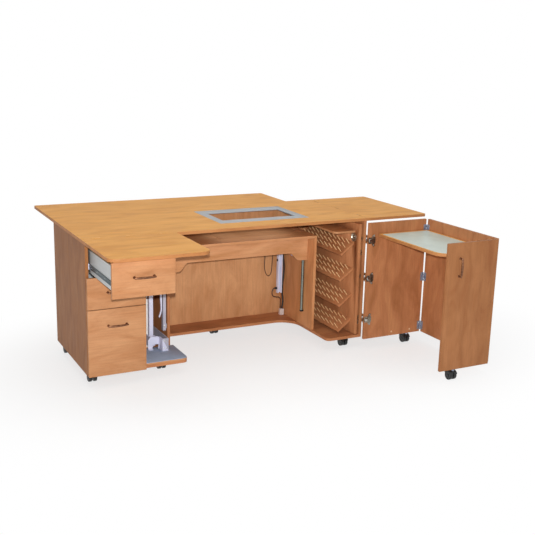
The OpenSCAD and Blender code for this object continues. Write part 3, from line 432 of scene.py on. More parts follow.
def repeated(name, shapeMesh, spots, material, body, turns):
    source = addObject(name + "Shape", shapeMesh)
    points = bpy.data.meshes.new(name + "Points")
    points.from_pydata([tuple(p) for p in spots], [], [])
    layer = points.attributes.new("turn", "FLOAT_VECTOR", "POINT")
    for i, t in enumerate(turns):
        layer.data[i].vector = t
    carrier = addObject(name, points)
    tree = bpy.data.node_groups.new(name + "Tree", "GeometryNodeTree")
    tree.interface.new_socket("Geometry", in_out="INPUT", socket_type="NodeSocketGeometry")
    shapeSocket = tree.interface.new_socket("Shape", in_out="INPUT", socket_type="NodeSocketObject")
    sizeSocket = tree.interface.new_socket("Size", in_out="INPUT", socket_type="NodeSocketFloat")
    tree.interface.new_socket("Geometry", in_out="OUTPUT", socket_type="NodeSocketGeometry")
    start = tree.nodes.new("NodeGroupInput")
    end = tree.nodes.new("NodeGroupOutput")
    info = tree.nodes.new("GeometryNodeObjectInfo")
    instances = tree.nodes.new("GeometryNodeInstanceOnPoints")
    turn = tree.nodes.new("GeometryNodeInputNamedAttribute")
    turn.data_type = "FLOAT_VECTOR"
    turn.inputs["Name"].default_value = "turn"
    toPoints = tree.nodes.new("GeometryNodeMeshToPoints")
    real = tree.nodes.new("GeometryNodeRealizeInstances")
    paint = tree.nodes.new("GeometryNodeSetMaterial")
    paint.inputs["Material"].default_value = material
    link = tree.links.new
    link(start.outputs["Geometry"], toPoints.inputs["Mesh"])
    link(toPoints.outputs["Points"], instances.inputs["Points"])
    link(start.outputs["Shape"], info.inputs["Object"])
    link(info.outputs["Geometry"], instances.inputs["Instance"])
    link(turn.outputs["Attribute"], instances.inputs["Rotation"])
    link(start.outputs["Size"], instances.inputs["Scale"])
    link(instances.outputs["Instances"], real.inputs["Geometry"])
    link(real.outputs["Geometry"], paint.inputs["Geometry"])
    link(paint.outputs["Geometry"], end.inputs["Geometry"])
    modifier = carrier.modifiers.new("repeat", "NODES")
    modifier.node_group = tree
    modifier[shapeSocket.identifier] = source
    modifier[sizeSocket.identifier] = 1.0
    graph = bpy.context.evaluated_depsgraph_get()
    graph.update()
    mesh = bpy.data.meshes.new_from_object(carrier.evaluated_get(graph))
    mesh.name = name
    bpy.data.objects.remove(carrier)
    bpy.data.objects.remove(source)
    mesh.materials.clear()
    obj = meshObject(name, mesh, material, body, ())
    smoothBelow(obj.data)
    return obj


def lathedShape(profile, sides=16):
    # A small turned shape round the origin, for repeated()
    bm = bmesh.new()
    addTurned(bm, profile, sides, lambda point: point)
    return finishMesh(bm, "smallShape")


faceOut = {  # rotations that turn a shape's +Z to that way
    "-Z": (math.pi, 0.0, 0.0), "-Y": (math.pi / 2, 0.0, 0.0), "+Y": (-math.pi / 2, 0.0, 0.0),
    "+X": (0.0, math.pi / 2, 0.0), "-X": (0.0, -math.pi / 2, 0.0),
}
screwHead = {"radius": 3.4, "height": 1.1, "recess": 1.5}


def screwShape():
    # Countersunk head with a domed rim and a recess for the driver
    r, h, d = screwHead["radius"], screwHead["height"], screwHead["recess"]
    return lathedShape([(0, h - d * 0.7), (0.9, h - d * 0.6), (1.5, h * 0.8), (r * 0.62, h),
                        (r * 0.9, h * 0.6), (r, 0.0), (r * 0.7, -0.6), (0, -0.6)], 14)


def screws(name, spots, way, body):
    return repeated(name, screwShape(), [place(*s) for s in spots], nickelPlate, body,
                    [faceOut[way]] * len(spots))


print("stage: materials and helpers")

# Boards of the carcass

boardFinishes = {
    "left_side_panel": sideLaminateZ, "compartment_panels": innerLaminateZ, "base_boards": innerLaminateX,
    "back_panels": backLaminateZ, "machine_shelf": shelfLaminateX, "apron": shelfLaminateX,
    "kneehole_right_panel": kneeLaminateZ, "right_side_panel": innerLaminateZ, "main_top": topLaminateX,
    "front_leaf": topLaminateX, "rear_leaf": topLaminateX, "right_leaf": topLaminateX,
    "door_a": innerLaminateZ, "door_b": innerLaminateZ, "door_c": endDoorLaminateZ,
    "lift_platform": frontLaminateX, "flap_table": topLaminateX,
}
for boardName, finish in boardFinishes.items():
    dress(boardName, finish, 1.2 if "leaf" in boardName or "top" in boardName else 0.8)
dress("flap_mat", matPale, 0.3)
for steelName in ("rear_leaf_hinges", "flap_hinges", "caster_plates"):
    dress(steelName, nickelPlate, 0.25)
dress("door_b_hardware", zincPlate, 0.25)
for steelName in ("front_leaf_hinges", "right_leaf_hinges"):
    dress(steelName, seamBrass, 0.15)
dress("lift_frame", whitePowderCoat, 0.8)


def coatWhere(obj, material, inside):
    # Another finish on the faces whose centre, in workshop millimetres, passes the test
    obj.data.materials.append(material)
    index = len(obj.data.materials) - 1
    for face in obj.data.polygons:
        x, y, z = face.center
        if inside(x / mm + originX, y / mm + originY, z / mm):
            face.material_index = index


# The edges of the top and its leaves are banded; their faces keep the top's laminate
for topName in ("main_top", "front_leaf", "rear_leaf", "right_leaf", "flap_table"):
    topObj = nodes[topName]
    topObj.data.materials.append(topEdgeX)
    for face in topObj.data.polygons:
        face.material_index = 1 if abs(face.normal.z) < 0.5 else 0
dress("machine_insert", frostedAcrylic, 0.5)
plates = dress("fixed_hinge_plates", nickelPlate, 0.25)
coatWhere(plates, seamBrass, lambda x, y, z: z > 763 and (y < 30 or x > 1640))  # front and right leaves
coatWhere(plates, antiqueNickel, lambda x, y, z: z < 720)  # door A's side plates
rails = dress("steel_rails", whitePowderCoat, 0.5)
coatWhere(rails, grayPowderCoat, lambda x, y, z: 494 < x < 519)  # slimmer rail
# Painted light: the strip behind the upright gets the brighter white
coatWhere(rails, stripWhitePaintedLight, lambda x, y, z: 407 < x < 419 and y > 288)  # strip behind the upright
coatWhere(rails, clipPlastic, lambda x, y, z: 1388 < x < 1416 and z < 119)  # cable clip
coatWhere(rails, antiqueNickel, lambda x, y, z: x > 1624)  # rack's outer runners
carriage = dress("tray_carriage", whitePowderCoat, 0.5)
coatWhere(carriage, grayPowderCoat, lambda x, y, z: x > 470 or x < 392.6)  # arm and arch
doorAMetal = dress("door_a_hardware", antiqueNickel, 0.25)
coatWhere(doorAMetal, zincPlate, lambda x, y, z: x > 1750)  # butt hinges and caster plate

# Drawers: front, bow handle, metal sides on telescopic runners

drawer = {
    "names": ["file_drawer", "middle_drawer", "top_drawer"],
    "fronts": [(62, 353), (418, 164), (585, 170)],   # height above the floor, height of the front
    "boxes": [(84, 246), (436, 120), (603, 116)],
    "runners": [110, 470, 622],
    "shifts": [0, 0, -416],
    "handleDrop": [88, 80, 76], "handleX": 154,
    "width": (26, 282), "depth": 450, "bottom": 12, "back": 12,
    "frontEnds": (1, 307), "frontThick": 16,
    "runnerLip": 3.5, "runnerWeb": 1.8, "screwsAlong": (40, 170, 300, 420),
}
bow = {"span": 96, "out": 28, "rise": 5, "radius": 5.6, "footRadius": 6.6, "steps": 28}


def bowHandle(name, centre, upright, plane, body, stands=()):
    # Die-cast bow: two turned feet and a bar that thins towards its ends
    half, out, rise = bow["span"] / 2, bow["out"], bow["rise"]
    bm = bmesh.new()
    cx, cz = centre

    def at(along, depth):
        return place(cx, plane - depth, cz + along) if upright else place(cx + along, plane - depth, cz)

    bar = []
    radii = []
    for i in range(bow["steps"] + 1):
        t = -1 + 2 * i / bow["steps"]
        bar.append(at(t * (half + 5.0), out - bow["radius"] - rise * t * t))
        radii.append(bow["radius"] * (1.0 - 0.20 * abs(t) ** 2) if abs(t) < 0.97 else bow["radius"] * 0.55)
    addSweep(bm, bar, radii, 18)
    for s in (-1, 1):
        foot = [at(s * half, d) for d in (0.0, 1.4, 2.6, 4.5, 8.0, 12.0, 15.0, out - rise - 5.0)]
        addSweep(bm, foot, [bow["footRadius"], bow["footRadius"], 5.4, 4.6, 4.2, 4.1, 4.3, 4.2], 18)
    mesh = bpy.data.meshes.new(name)
    bmesh.ops.recalc_face_normals(bm, faces=bm.faces)
    bm.to_mesh(mesh)
    bm.free()
    smoothBelow(mesh, 45)
    return meshObject(name, mesh, darkBronze, body, stands)


def runnerSection(x, z, lip, web):
    # Rolled section of a telescopic runner: two lips and a web that stands back between them
    return [(x, z + 3), (x + lip, z + 3), (x + lip, z + 8), (x + web, z + 10), (x + web, z + 20),
            (x + lip, z + 22), (x + lip, z + 27), (x, z + 27)]


for i, drawerName in enumerate(drawer["names"]):
    z, height = drawer["fronts"][i]
    shift = drawer["shifts"][i]
    x0, x1 = drawer["frontEnds"]
    y0 = shift + drawer["frontThick"]
    board = blockMesh(drawerName + "FrontBoard", (x0, shift, z), (x1, y0, z + height - 1), 1.0)
    meshObject(drawerName + "FrontBoard", board, frontLaminateX, drawerName, [drawerName + "_front"])
    handleAt = (drawer["handleX"], z + height - drawer["handleDrop"][i])
    bowHandle(drawerName + "Handle", handleAt, False, shift, drawerName)
    x0, x1 = drawer["width"]
    z0, boxHeight = drawer["boxes"][i]
    z1, zBottom = z0 + boxHeight, z0 + drawer["bottom"]
    y1 = y0 + drawer["depth"]
    yBack = y1 - drawer["back"]
    sides = bmesh.new()
    for left, sign in ((x0, 1), (x1, -1)):
        # Folded sheet side: one wall, and a flange that turns in along its top edge
        outline = [(left, z0), (left, z1 - 2.0), (left + sign * 1.2, z1), (left + sign * 9, z1),
                   (left + sign * 9, z1 - 5), (left + sign * 7.6, z1 - 5), (left + sign * 7.6, z1 - 1.6),
                   (left + sign * 2.0, z1 - 1.6), (left + sign * 2.0, z0)]
        addPrism(sides, outline, y0, y1, "Y")
    addBlock(sides, (x0 + 2, yBack, zBottom), (x1 - 2, y1, z1 - 8))
    finishPiece(drawerName + "Sides", sides, drawerSteel, drawerName, [drawerName + "_box"],
                0.4)
    bottom = blockMesh(drawerName + "Bottom", (x0 + 2, y0, z0), (x1 - 2, yBack, zBottom), 0.4)
    meshObject(drawerName + "Bottom", bottom, drawerSteel, drawerName, ())
    zRunner = drawer["runners"][i]
    runner = bmesh.new()
    for x, sign in ((x0, -1), (x1, 1)):
        section = runnerSection(x, zRunner, sign * drawer["runnerLip"], sign * drawer["runnerWeb"])
        addPrism(runner, section, y0 + 8, y1 - 6, "Y")
    finishPiece(drawerName + "InnerRunner", runner, runnerSteel, drawerName, (), 0.3)
    screws(drawerName + "RunnerScrews",
           [(x0 - drawer["runnerWeb"], y0 + y, zRunner + 15) for y in drawer["screwsAlong"]],
           "-X", drawerName)
print("stage: drawers")

# Door set: screws of its butt hinges, concealed hinges with bow-tie plates, cover caps, handle

butt = {
    "heights": (103, 408, 700), "screws": (-17, 17),
    # Where a row of screws stands along X and Y, the way its heads face, and its body
    "rows": {
        "doorA": ([(2032.5, -29.5)], "-Y", "door_a"),
        "doorB": ([(2048.0, -45), (2048.0, -617)], "-X", "door_b"),
        "doorC": ([(2032.5, -632.5)], "+Y", "door_c"),
    },
}
for doorName, (rows, way, body) in butt["rows"].items():
    screws(doorName + "ButtScrews", [(x, y, z + dz) for z in butt["heights"] for x, y in rows
                                     for dz in butt["screws"]], way, body)
screws("flapScrewsOnDoor", [(2048.0, y, 664) for y in (-103.5, -331, -558.5)], "-X", "door_b")
dress("door_c_hardware", zincPlate, 0.25)

hingeA = {
    "heights": [182, 431, 656], "x": 1641.4, "face": -28.0, "plate": 2.4,
    # Upper half of the bow tie, from its left end and its middle
    "bowTie": [(0, 11), (14, 11), (24, 30), (33, 36), (40, 33), (38, 14)], "waist": 36.5,
    "boss": 9.5, "screwsAt": 33, "screws": (-27, 27),
}
sidePlate = {
    "inner": (1634.6, 1637), "low": -10, "high": 12, "front": 30, "back": 52, "corner": 4,
    "outerFace": 1655.5, "screwsAt": 48, "screws": (-20, 20),
}
plateFace = hingeA["face"] - hingeA["plate"]
bowTie = bmesh.new()
bosses = bmesh.new()
innerPlates = bmesh.new()
for z in hingeA["heights"]:
    outline = [(hingeA["x"] + x, z + up) for x, up in hingeA["bowTie"]]
    outline.append((hingeA["x"] + hingeA["waist"], z))
    outline += [(hingeA["x"] + x, z - up) for x, up in reversed(hingeA["bowTie"])]
    addPrism(bowTie, outline[::-1], plateFace, hingeA["face"], "Y")
    addLathe(bosses, [(0, 3.7), (5.0, 3.6), (8.6, 3.1), (10.4, 2.2), (11.0, 1.0), (11.0, 0), (0, 0)],
             (hingeA["x"] + hingeA["boss"], hingeA["face"], z), "-Y", 28)
    y0, y1, corner = sidePlate["front"], sidePlate["back"], sidePlate["corner"]
    z0, z1 = z + sidePlate["low"], z + sidePlate["high"]
    outline = [(y0, z0), (y1 - corner, z0), (y1, z0 + corner), (y1, z1 - corner), (y1 - corner, z1), (y0, z1)]
    addPrism(innerPlates, outline, *sidePlate["inner"], "X")
finishPiece("doorABowTiePlates", bowTie, antiqueNickel, "door_a", (), 0.8)
finishPiece("doorAHingeBosses", bosses, nickelPlate, "door_a", ())
finishPiece("sidePanelInnerPlates", innerPlates, antiqueNickel, "cabinet", (), 0.5)
screws("doorAPlateScrews", [(hingeA["x"] + hingeA["screwsAt"], plateFace, z + dz)
                            for z in hingeA["heights"] for dz in hingeA["screws"]], "-Y", "door_a")
screws("sidePlateScrews", [(sidePlate["outerFace"], sidePlate["screwsAt"], z + dz)
                           for z in hingeA["heights"] for dz in sidePlate["screws"]], "+X", "cabinet")
capShape = lathedShape([(0, 1.1), (3.5, 1.0), (5.2, 0.6), (5.6, 0.0), (0, 0.0)], 18)
repeated("casterScrewCaps", capShape, [place(x, -28, 85) for x in (1838, 1970)], capBeige, "door_a",
         [faceOut["-Y"]] * 2)
bowHandle("doorCHandle", (1793, 628), True, -650, "door_c", ["door_handle"])
print("stage: doors")

# Rear leaf hinges' screws, three in each half, put in from below

rearHinge = {
    "along": (100, 730, 1360), "screws": (-20, 0, 20), "under": 762.5,
    "halves": {"Top": (674, "cabinet"), "Leaf": (703, "rear_leaf")},
}
for half, (y, body) in rearHinge["halves"].items():
    screws("rearLeafScrews" + half, [(x + dx, y, rearHinge["under"]) for x in rearHinge["along"]
                                     for dx in rearHinge["screws"]], "-Z", body)

# Lift: drawn guide tube, its black foot, the column's knobs, cables whose routes are given point by point

guide = {"x": 1408, "y": 315, "radius": 9, "bore": 7.5, "low": 176, "high": 640,
         "foot": 10, "footHalf": 8, "panel": 1420}
length = guide["high"] - guide["low"]
tubeWall = [(guide["bore"], 0), (guide["radius"], 0), (guide["radius"], length), (guide["bore"], length)]
tube = latheMesh("guideTube", tubeWall, (guide["x"], guide["y"], guide["low"]), "Z", 40, True)
meshObject("guideTube", tube, drawnTube, "cabinet", ["guide_tube"])
# The foot reaches from the tube to the kneehole's right panel
footLow = (guide["x"] - guide["footHalf"], guide["y"] - guide["footHalf"], guide["low"] - guide["foot"])
footHigh = (guide["panel"], guide["y"] + guide["footHalf"], guide["low"])
foot = blockMesh("guideTubeFoot", footLow, footHigh, 1.5)
meshObject("guideTubeFoot", foot, blackAbs, "cabinet", ())
column = {"face": 1366, "y": 559, "knobs": ((255, 14), (435, 4))}   # height above the floor, reach
knobs = bmesh.new()
for z, reach in column["knobs"]:
    addLathe(knobs, [(0, reach), (4.8, reach), (6.6, reach * 0.94), (7.5, reach * 0.78), (7.5, reach * 0.3),
                     (6.4, 0), (0, 0)], (column["face"], column["y"], z), "-X", 28)
finishPiece("columnKnobs", knobs, blackAbs, "cabinet", ())

columnCable = [(1404, 558, 640), (1404, 558, 560), (1404, 558, 500), (1404.5, 558, 462), (1409, 558, 422),
               (1412, 558, 386), (1411.5, 558, 350), (1409, 558, 315), (1405, 558, 280), (1404, 558, 240),
               (1404.5, 558, 215), (1408, 558, 192), (1410, 558, 165), (1408, 558, 142), (1406, 558, 130),
               (1406, 558, 118)]
loopCable = [(1352, 559, 255), (1346, 559, 255), (1338, 559, 248), (1333, 559, 236), (1333, 559, 221),
             (1338, 559, 209), (1349, 559, 201), (1364, 559, 197), (1380, 559, 194.5), (1389, 559, 188),
             (1393, 559, 176), (1393, 559, 155), (1393.5, 559, 135), (1393.5, 559, 118)]
hangingCable = [(1297, 592, 640), (1297, 592, 560), (1295.5, 592, 500), (1293, 592, 450), (1291, 592, 404),
                (1295, 592, 370), (1306, 592, 342), (1322, 592, 331), (1336, 592, 342), (1343, 592, 370),
                (1345, 592, 404), (1347, 592, 450), (1349, 592, 500), (1350, 592, 560), (1350, 592, 640)]
cableRadius = {"column": 6.0, "loop": 3.0, "hanging": 2.5}
cables = bmesh.new()
addSweep(cables, smoothRoute([place(*p) for p in columnCable], 5), cableRadius["column"], 14)
addSweep(cables, smoothRoute([place(*p) for p in loopCable], 4), cableRadius["loop"], 12)
finishPiece("liftCables", cables, cableSheath, "cabinet", ["lift_cables"])
loop = bmesh.new()
addSweep(loop, smoothRoute([place(*p) for p in hangingCable], 5), cableRadius["hanging"], 10)
finishPiece("switchWireLoop", loop, thinWire, "cabinet", ())
print("stage: lift")

# Tray: a board with one round corner, and its mat

tray = {"left": 309.5, "right": 550, "front": 20, "back": 246, "corner": 28,
        "low": 78.3, "top": 86.3, "matTop": 88.8, "matInset": 1.5}


def trayOutline(inset):
    left, right = tray["left"] + inset, tray["right"] - inset
    front, back = tray["front"] + inset, tray["back"] - inset
    radius = tray["corner"] - inset
    corner = arc(right - radius, front + radius, radius, -90, 0)
    return [(left, front)] + corner + [(right, back), (left, back)]


trayBoard = prismMesh("trayBoard", trayOutline(0), tray["low"], tray["top"])
meshObject("trayBoard", trayBoard, frontLaminateX, "tray", ["tray"])
trayMat = prismMesh("trayMat", trayOutline(tray["matInset"]), tray["top"], tray["matTop"], 0.5)
meshObject("trayMat", trayMat, matGray, "tray", ())

# Thread rack: boards, tilted shelves, turned pegs, a cup pull in a bore, inner runners

rack = {
    "x": 1608, "outer": 1624, "front": 24, "back": 602, "low": 82, "high": 744,  # back board
    "under": 688, "top": 700, "topFront": 68, "topReach": 138, "corner": 30,  # top board
    "end": 12, "endReach": 97,  # end board
    "count": 4, "first": 166, "pitch": 155, "shelfRun": 89, "shelfFall": 68, "thick": 12, "shelfFront": 74,
    "rows": 3, "perRow": 10, "pegFrom": 99, "pegPitch": 50,
    "pull": (1608, 82, 659.5), "bore": 22.9,
    "runners": (140, 560), "runnerLip": 6.5, "runnerWeb": 4.6, "runnerInset": 6,
}
tilt = math.atan2(rack["shelfFall"], rack["shelfRun"])
endFront = rack["back"] - rack["end"]
rackBoards = bmesh.new()
addBlock(rackBoards, (rack["x"], rack["front"], rack["low"]), (rack["outer"], rack["back"], rack["high"]))
backBoard = finishPiece("rackBackBoard", rackBoards, innerLaminateZ, "rack", ["thread_rack"],
                        0.8)
boreMesh = latheMesh("pullBore", [(0, -9.6), (rack["bore"], -9.6), (rack["bore"], 2), (0, 2)],
                     rack["pull"], "-X", 48)
boreCutter = addObject("pullBore", boreMesh)
cut = backBoard.modifiers.new("pullBore", "BOOLEAN")
cut.operation, cut.object = "DIFFERENCE", boreCutter
graph = bpy.context.evaluated_depsgraph_get()
graph.update()
boredMesh = bpy.data.meshes.new_from_object(backBoard.evaluated_get(graph))
backBoard.modifiers.clear()
backBoard.data = boredMesh
bpy.data.objects.remove(boreCutter)
topLeft = rack["x"] - rack["topReach"]
topOutline = arc(topLeft + rack["corner"], rack["topFront"] + rack["corner"], rack["corner"], 180, 270)
topOutline += [(rack["x"], rack["topFront"]), (rack["x"], rack["back"]), (topLeft, rack["back"])]
meshObject("rackTopBoard", prismMesh("rackTopBoard", topOutline, rack["under"], rack["top"]), frontLaminateX,
           "rack", ())
endBoard = blockMesh("rackEndBoard", (rack["x"] - rack["endReach"], endFront, rack["low"]),
                     (rack["x"], rack["back"], rack["under"]), 0.8)
meshObject("rackEndBoard", endBoard, innerLaminateZ, "rack", ())
shelves = bmesh.new()
pegSpots = []
across = (rack["thick"] * math.sin(tilt), -rack["thick"] * math.cos(tilt))
for k in range(rack["count"]):
    z = rack["first"] + k * rack["pitch"]
    low = (rack["x"] - rack["shelfRun"], z - rack["shelfFall"])
    outline = [(rack["x"], z), low, (low[0] + across[0], low[1] + across[1]),
               (rack["x"], z - rack["thick"] / math.cos(tilt))]
    addPrism(shelves, outline, rack["shelfFront"], endFront, "Y")
    for row in range(rack["rows"]):
        down = (row + 0.6) / (rack["rows"] + 0.2)
        for peg in range(rack["perRow"]):
            pegSpots.append(place(rack["x"] - rack["shelfRun"] * down,
                                  rack["pegFrom"] + rack["pegPitch"] * peg, z - rack["shelfFall"] * down))
finishPiece("rackPegShelves", shelves, innerLaminateY, "rack", (), 0.8)
pegShape = lathedShape([(0, -2), (3.0, -2), (3.0, 36), (2.7, 38.2), (1.9, 39.6), (0, 40)], 12)
rackPegs = repeated("rackPegs", pegShape, pegSpots, pegWood, "rack", [(0.0, -tilt, 0.0)] * len(pegSpots))
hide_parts("rack_pegs")
cupProfile = [(0, -8.6), (14.4, -8.2), (19.2, -6.6), (22.2, -3.6), (22.8, -1), (23.4, 1.4), (25, 2.0),
              (26.6, 1.5), (27, 0), (22.4, 0), (22.4, -0.8), (21.0, -3.0), (17.8, -5.4), (13.5, -6.8),
              (0, -7.2)]
cup = latheMesh("rackCupPull", cupProfile[::-1], rack["pull"], "-X", 48)
meshObject("rackCupPull", cup, satinCup, "rack", ["rack_pull"])
rackRunners = bmesh.new()
for z in rack["runners"]:
    addPrism(rackRunners, runnerSection(rack["outer"], z, rack["runnerLip"], rack["runnerWeb"]),
             rack["front"] + rack["runnerInset"], rack["back"] - rack["runnerInset"], "Y")
finishPiece("rackRunners", rackRunners, galvanised, "rack", (), 0.3)
print("stage: thread rack")

# Casters: a hooded twin-wheel one, eight times

caster = {
    "wheelRadius": 25, "wheelWidth": 18, "gap": 8, "trail": 14, "axle": 2.95,
    "fender": (26.1, 28.3), "fenderTop": 53.6, "fenderSteps": 14, "side": 0.8, "web": 3.5,
    "stem": 5.5, "stemLow": 46, "stemTop": 58.6,
}
casterSpots = {
    "front_left": (45, 94), "rear_left": (45, 580), "compartment": (440, 132), "footboard": (950, 579),
    "front_right": (1567, 70), "rear_right": (1567, 580), "door_a": (1953, -20), "door_c": (1809, -642),
}


def casterHousing(cx, cy, ay, az, half):
    # A fender over each wheel, the web between them, and the stem above
    hood = bmesh.new()
    inside, outside = caster["fender"]
    web, stem = caster["web"], caster["stem"]
    for s in (-1, 1):
        outer, inner = [], []
        for i in range(caster["fenderSteps"] + 1):
            a = math.radians(20 + 140 * i / caster["fenderSteps"])
            outer.append((ay + outside * math.cos(a), min(az + outside * math.sin(a), caster["fenderTop"])))
            inner.append((ay + inside * math.cos(a), az + inside * math.sin(a)))
        edge = half + caster["side"]
        low, high = (cx + web, cx + edge) if s > 0 else (cx - edge, cx - web)
        addPrism(hood, outer + inner[::-1], low, high, "X")
    outline = [(ay - 9, az - 2), (ay - 6, az - 7), (ay, az - 9), (ay + 6, az - 7), (ay + 9, az - 2),
               (ay + 9, az + 3), (ay + 6, 50), (cy - stem, 50), (cy - stem, 40)]
    addPrism(hood, outline, cx - web, cx + web, "X")
    addLathe(hood, [(0, caster["stemLow"]), (stem, caster["stemLow"]), (stem, caster["stemTop"] - 0.2),
                    (4.8, caster["stemTop"]), (0, caster["stemTop"])], (cx, cy, 0), "Z", 24)
    return finishMesh(hood, "casterHood", 0.5)


def casterWheels(cx, ay, az, half):
    # Treads with rounded shoulders, a dished face and a small hub cap, on one axle
    wheels = bmesh.new()
    radius, width, axle = caster["wheelRadius"], caster["wheelWidth"], caster["axle"]
    profile = [(0, 2), (8, 2), (9, 0.6), (20, 0.6), (22.4, 0), (24.2, 1.2), (radius, 3.4),
               (radius, width - 3.4), (24.2, width - 1.2), (22.4, width), (20.4, width), (19.6, 16.2),
               (9.5, 15.4), (8.6, 17.2), (6.8, width), (0, width)]
    for s in (-1, 1):
        addLathe(wheels, profile, (cx + s * caster["gap"] / 2, ay, az), "X" if s > 0 else "-X", 40)
    ends = half - 4
    addLathe(wheels, [(0, -ends), (axle, -ends), (axle, ends), (0, ends)], (cx, ay, az), "X", 16)
    return finishMesh(wheels, "casterWheels")


for casterName, (cx, cy) in casterSpots.items():
    name = "caster_" + casterName
    ay, az = cy + caster["trail"], caster["wheelRadius"]
    half = caster["gap"] / 2 + caster["wheelWidth"]
    meshObject(name + "Hood", casterHousing(cx, cy, ay, az, half), blackAbs, name + "_fork",
               [name + "_housing"])
    meshObject(name + "Wheels", casterWheels(cx, ay, az, half), blackNylon, name + "_wheel",
               [name + "_wheels"])
print("stage: casters")

# Small fittings: cover caps and screws on the carcass

fittings = {
    "cap": [(0, 0.9), (4.6, 0.8), (5.6, 0.4), (5.8, 0.0), (0, 0.0)],
    "left": [(0, y, z) for z in (74, 756) for y in (70, 333, 596)],
    "right": [(1653, y, z) for z in (70, 756) for y in (110, 333, 596)],
    "back": [(x, 630, z) for x in (60, 292, 500, 620, 900, 1180, 1420, 1600) for z in (90, 740)],
    "uprights": [(425.5, 257, z) for z in (620, 735)] + [(503.5, 257, z) for z in (200, 420, 735)],
    "carriage": [(x, 165, z) for x in (466, 482) for z in (104, 145)],
    "casterPlateScrews": (-16, 16), "casterPlateFace": 59,
}
for side, way, finish in (("left", "-X", sideLaminateZ), ("right", "+X", innerLaminateZ)):
    spots = [place(*s) for s in fittings[side]]
    repeated(side + "SideCaps", lathedShape(fittings["cap"]), spots, finish, "cabinet",
             [faceOut[way]] * len(spots))
screws("backPanelScrews", fittings["back"], "+Y", "cabinet")
screws("uprightScrews", fittings["uprights"], "-Y", "cabinet")
screws("carriageScrews", fittings["carriage"], "-Y", "tray")
# The first six casters stand under the carcass, each on a plate with four screws
screws("casterPlateScrews", [(x + dx, y + dy, fittings["casterPlateFace"])
                             for x, y in list(casterSpots.values())[:6]
                             for dx in fittings["casterPlateScrews"]
                             for dy in fittings["casterPlateScrews"]], "-Z", "cabinet")
print("stage: fittings")

# Floor, light and camera

floor = {"half": 30.0, "squash": (0.62, 1.0, 0.0), "fadeFrom": 0.5, "fadeTo": 1.4, "fadeLeast": 0.62}
floorMesh = bpy.data.meshes.new("floor")
half = floor["half"]
floorMesh.from_pydata([(-half, -half, 0), (half, -half, 0), (half, half, 0), (-half, half, 0)], [],
                      [(0, 1, 2, 3)])
floorObj = addObject("floor", floorMesh)


def seenDirectly(material):
    # One for the rays that look at a surface or through it, none for those that light it
    paths = addNode(material, "ShaderNodeLightPath")
    seen = addNode(material, "ShaderNodeMath", {"operation": "MAXIMUM"},
                   {0: (paths, "Is Camera Ray"), 1: (paths, "Is Glossy Ray")})
    return addNode(material, "ShaderNodeMath", {"operation": "MAXIMUM"},
                   {0: (seen, "Value"), 1: (paths, "Is Transmission Ray")})


floorFinish = newMaterial("paleStudioFloor")
litFloor = addNode(floorFinish, "ShaderNodeBsdfPrincipled",
                   {"Base Color": linear("#ffffff"), "Roughness": 0.9})
# Away from the cabinet the floor turns into the plain white of the backdrop
floorWhere = addNode(floorFinish, "ShaderNodeTexCoord")
floorSquash = addNode(floorFinish, "ShaderNodeVectorMath", {"operation": "MULTIPLY", 1: floor["squash"]},
                      {0: (floorWhere, "Object")})
floorReach = addNode(floorFinish, "ShaderNodeVectorMath", {"operation": "LENGTH"},
                     {0: (floorSquash, "Vector")})
floorFade = addNode(floorFinish, "ShaderNodeMapRange",
                    {"interpolation_type": "SMOOTHSTEP", "From Min": floor["fadeFrom"],
                     "From Max": floor["fadeTo"], "To Min": floor["fadeLeast"]},
                    {"Value": (floorReach, "Value")})
floorShare = addNode(floorFinish, "ShaderNodeMath", {"operation": "MULTIPLY"},
                     {0: (seenDirectly(floorFinish), "Value"), 1: (floorFade, "Result")})
plainWhite = addNode(floorFinish, "ShaderNodeEmission", {"Color": gray(1.0), "Strength": 1.0})
floorMix = addNode(floorFinish, "ShaderNodeMixShader", None,
                   {0: (floorShare, "Value"), 1: (litFloor, "BSDF"), 2: (plainWhite, "Emission")})
addNode(floorFinish, "ShaderNodeOutputMaterial", None, {"Surface": (floorMix, "Shader")})
floorMesh.materials.append(floorFinish)

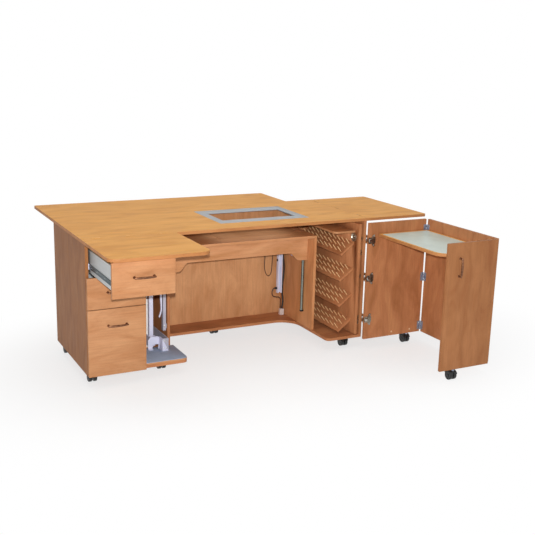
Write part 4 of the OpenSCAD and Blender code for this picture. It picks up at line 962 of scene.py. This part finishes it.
world = bpy.data.worlds.new("paleStudio")
bpy.context.scene.world = world
world.use_nodes = True
world.node_tree.nodes.clear()
ambient = addNode(world, "ShaderNodeBackground", {"Color": gray(1.0), "Strength": 0.27})
backdrop = addNode(world, "ShaderNodeBackground", {"Color": gray(1.0), "Strength": 1.0})
both = addNode(world, "ShaderNodeMixShader", None,
               {0: (seenDirectly(world), "Value"), 1: (ambient, "Background"), 2: (backdrop, "Background")})
addNode(world, "ShaderNodeOutputWorld", None, {"Surface": (both, "Shader")})

# The picture was lit by a lamp just over the camera, so its shadows lie close under each edge
lamps = {
    "key": {"at": (-2.14, -4.25, 1.78), "power": 168, "size": 0.05},
    "above": {"at": (0.0, 0.3, 4.0), "power": 64, "size": 4.0},
}
for lampName, lamp in lamps.items():
    light = bpy.data.lights.new(lampName, "AREA")
    light.energy, light.size = lamp["power"], lamp["size"]
    lampObj = addObject(lampName, light)
    lampObj.location = lamp["at"]
    aim = Vector((0, 0, 0.4)) - Vector(lamp["at"])
    lampObj.rotation_euler = aim.to_track_quat("-Z", "Y").to_euler()

cameraFit = {"at": (-1118.384, -4072.948, 1680.391), "yaw": -0.48053, "pitch": -0.24146, "roll": 0.02552,
             "focalPixels": 865.859, "framePixels": 535, "sensor": 36.0}
cosYaw, sinYaw = math.cos(cameraFit["yaw"]), math.sin(cameraFit["yaw"])
cosPitch, sinPitch = math.cos(cameraFit["pitch"]), math.sin(cameraFit["pitch"])
cosRoll, sinRoll = math.cos(cameraFit["roll"]), math.sin(cameraFit["roll"])
forward = Vector((-sinYaw * cosPitch, cosYaw * cosPitch, sinPitch))
level = Vector((cosYaw, sinYaw, 0))
upward = level.cross(forward)
right = level * cosRoll + upward * sinRoll
up = upward * cosRoll - level * sinRoll
cameraData = bpy.data.cameras.new("camera")
cameraData.sensor_width = cameraFit["sensor"]
cameraData.lens = cameraFit["focalPixels"] * cameraFit["sensor"] / cameraFit["framePixels"]
cameraData.clip_end = 100
cameraObj = addObject("camera", cameraData)
turned = Matrix((right, up, -forward)).transposed().to_4x4()
turned.translation = place(*cameraFit["at"])
cameraObj.matrix_world = turned
bpy.context.scene.camera = cameraObj
bpy.context.scene.view_settings.view_transform = "Standard"
print("stage: floor, light and camera")
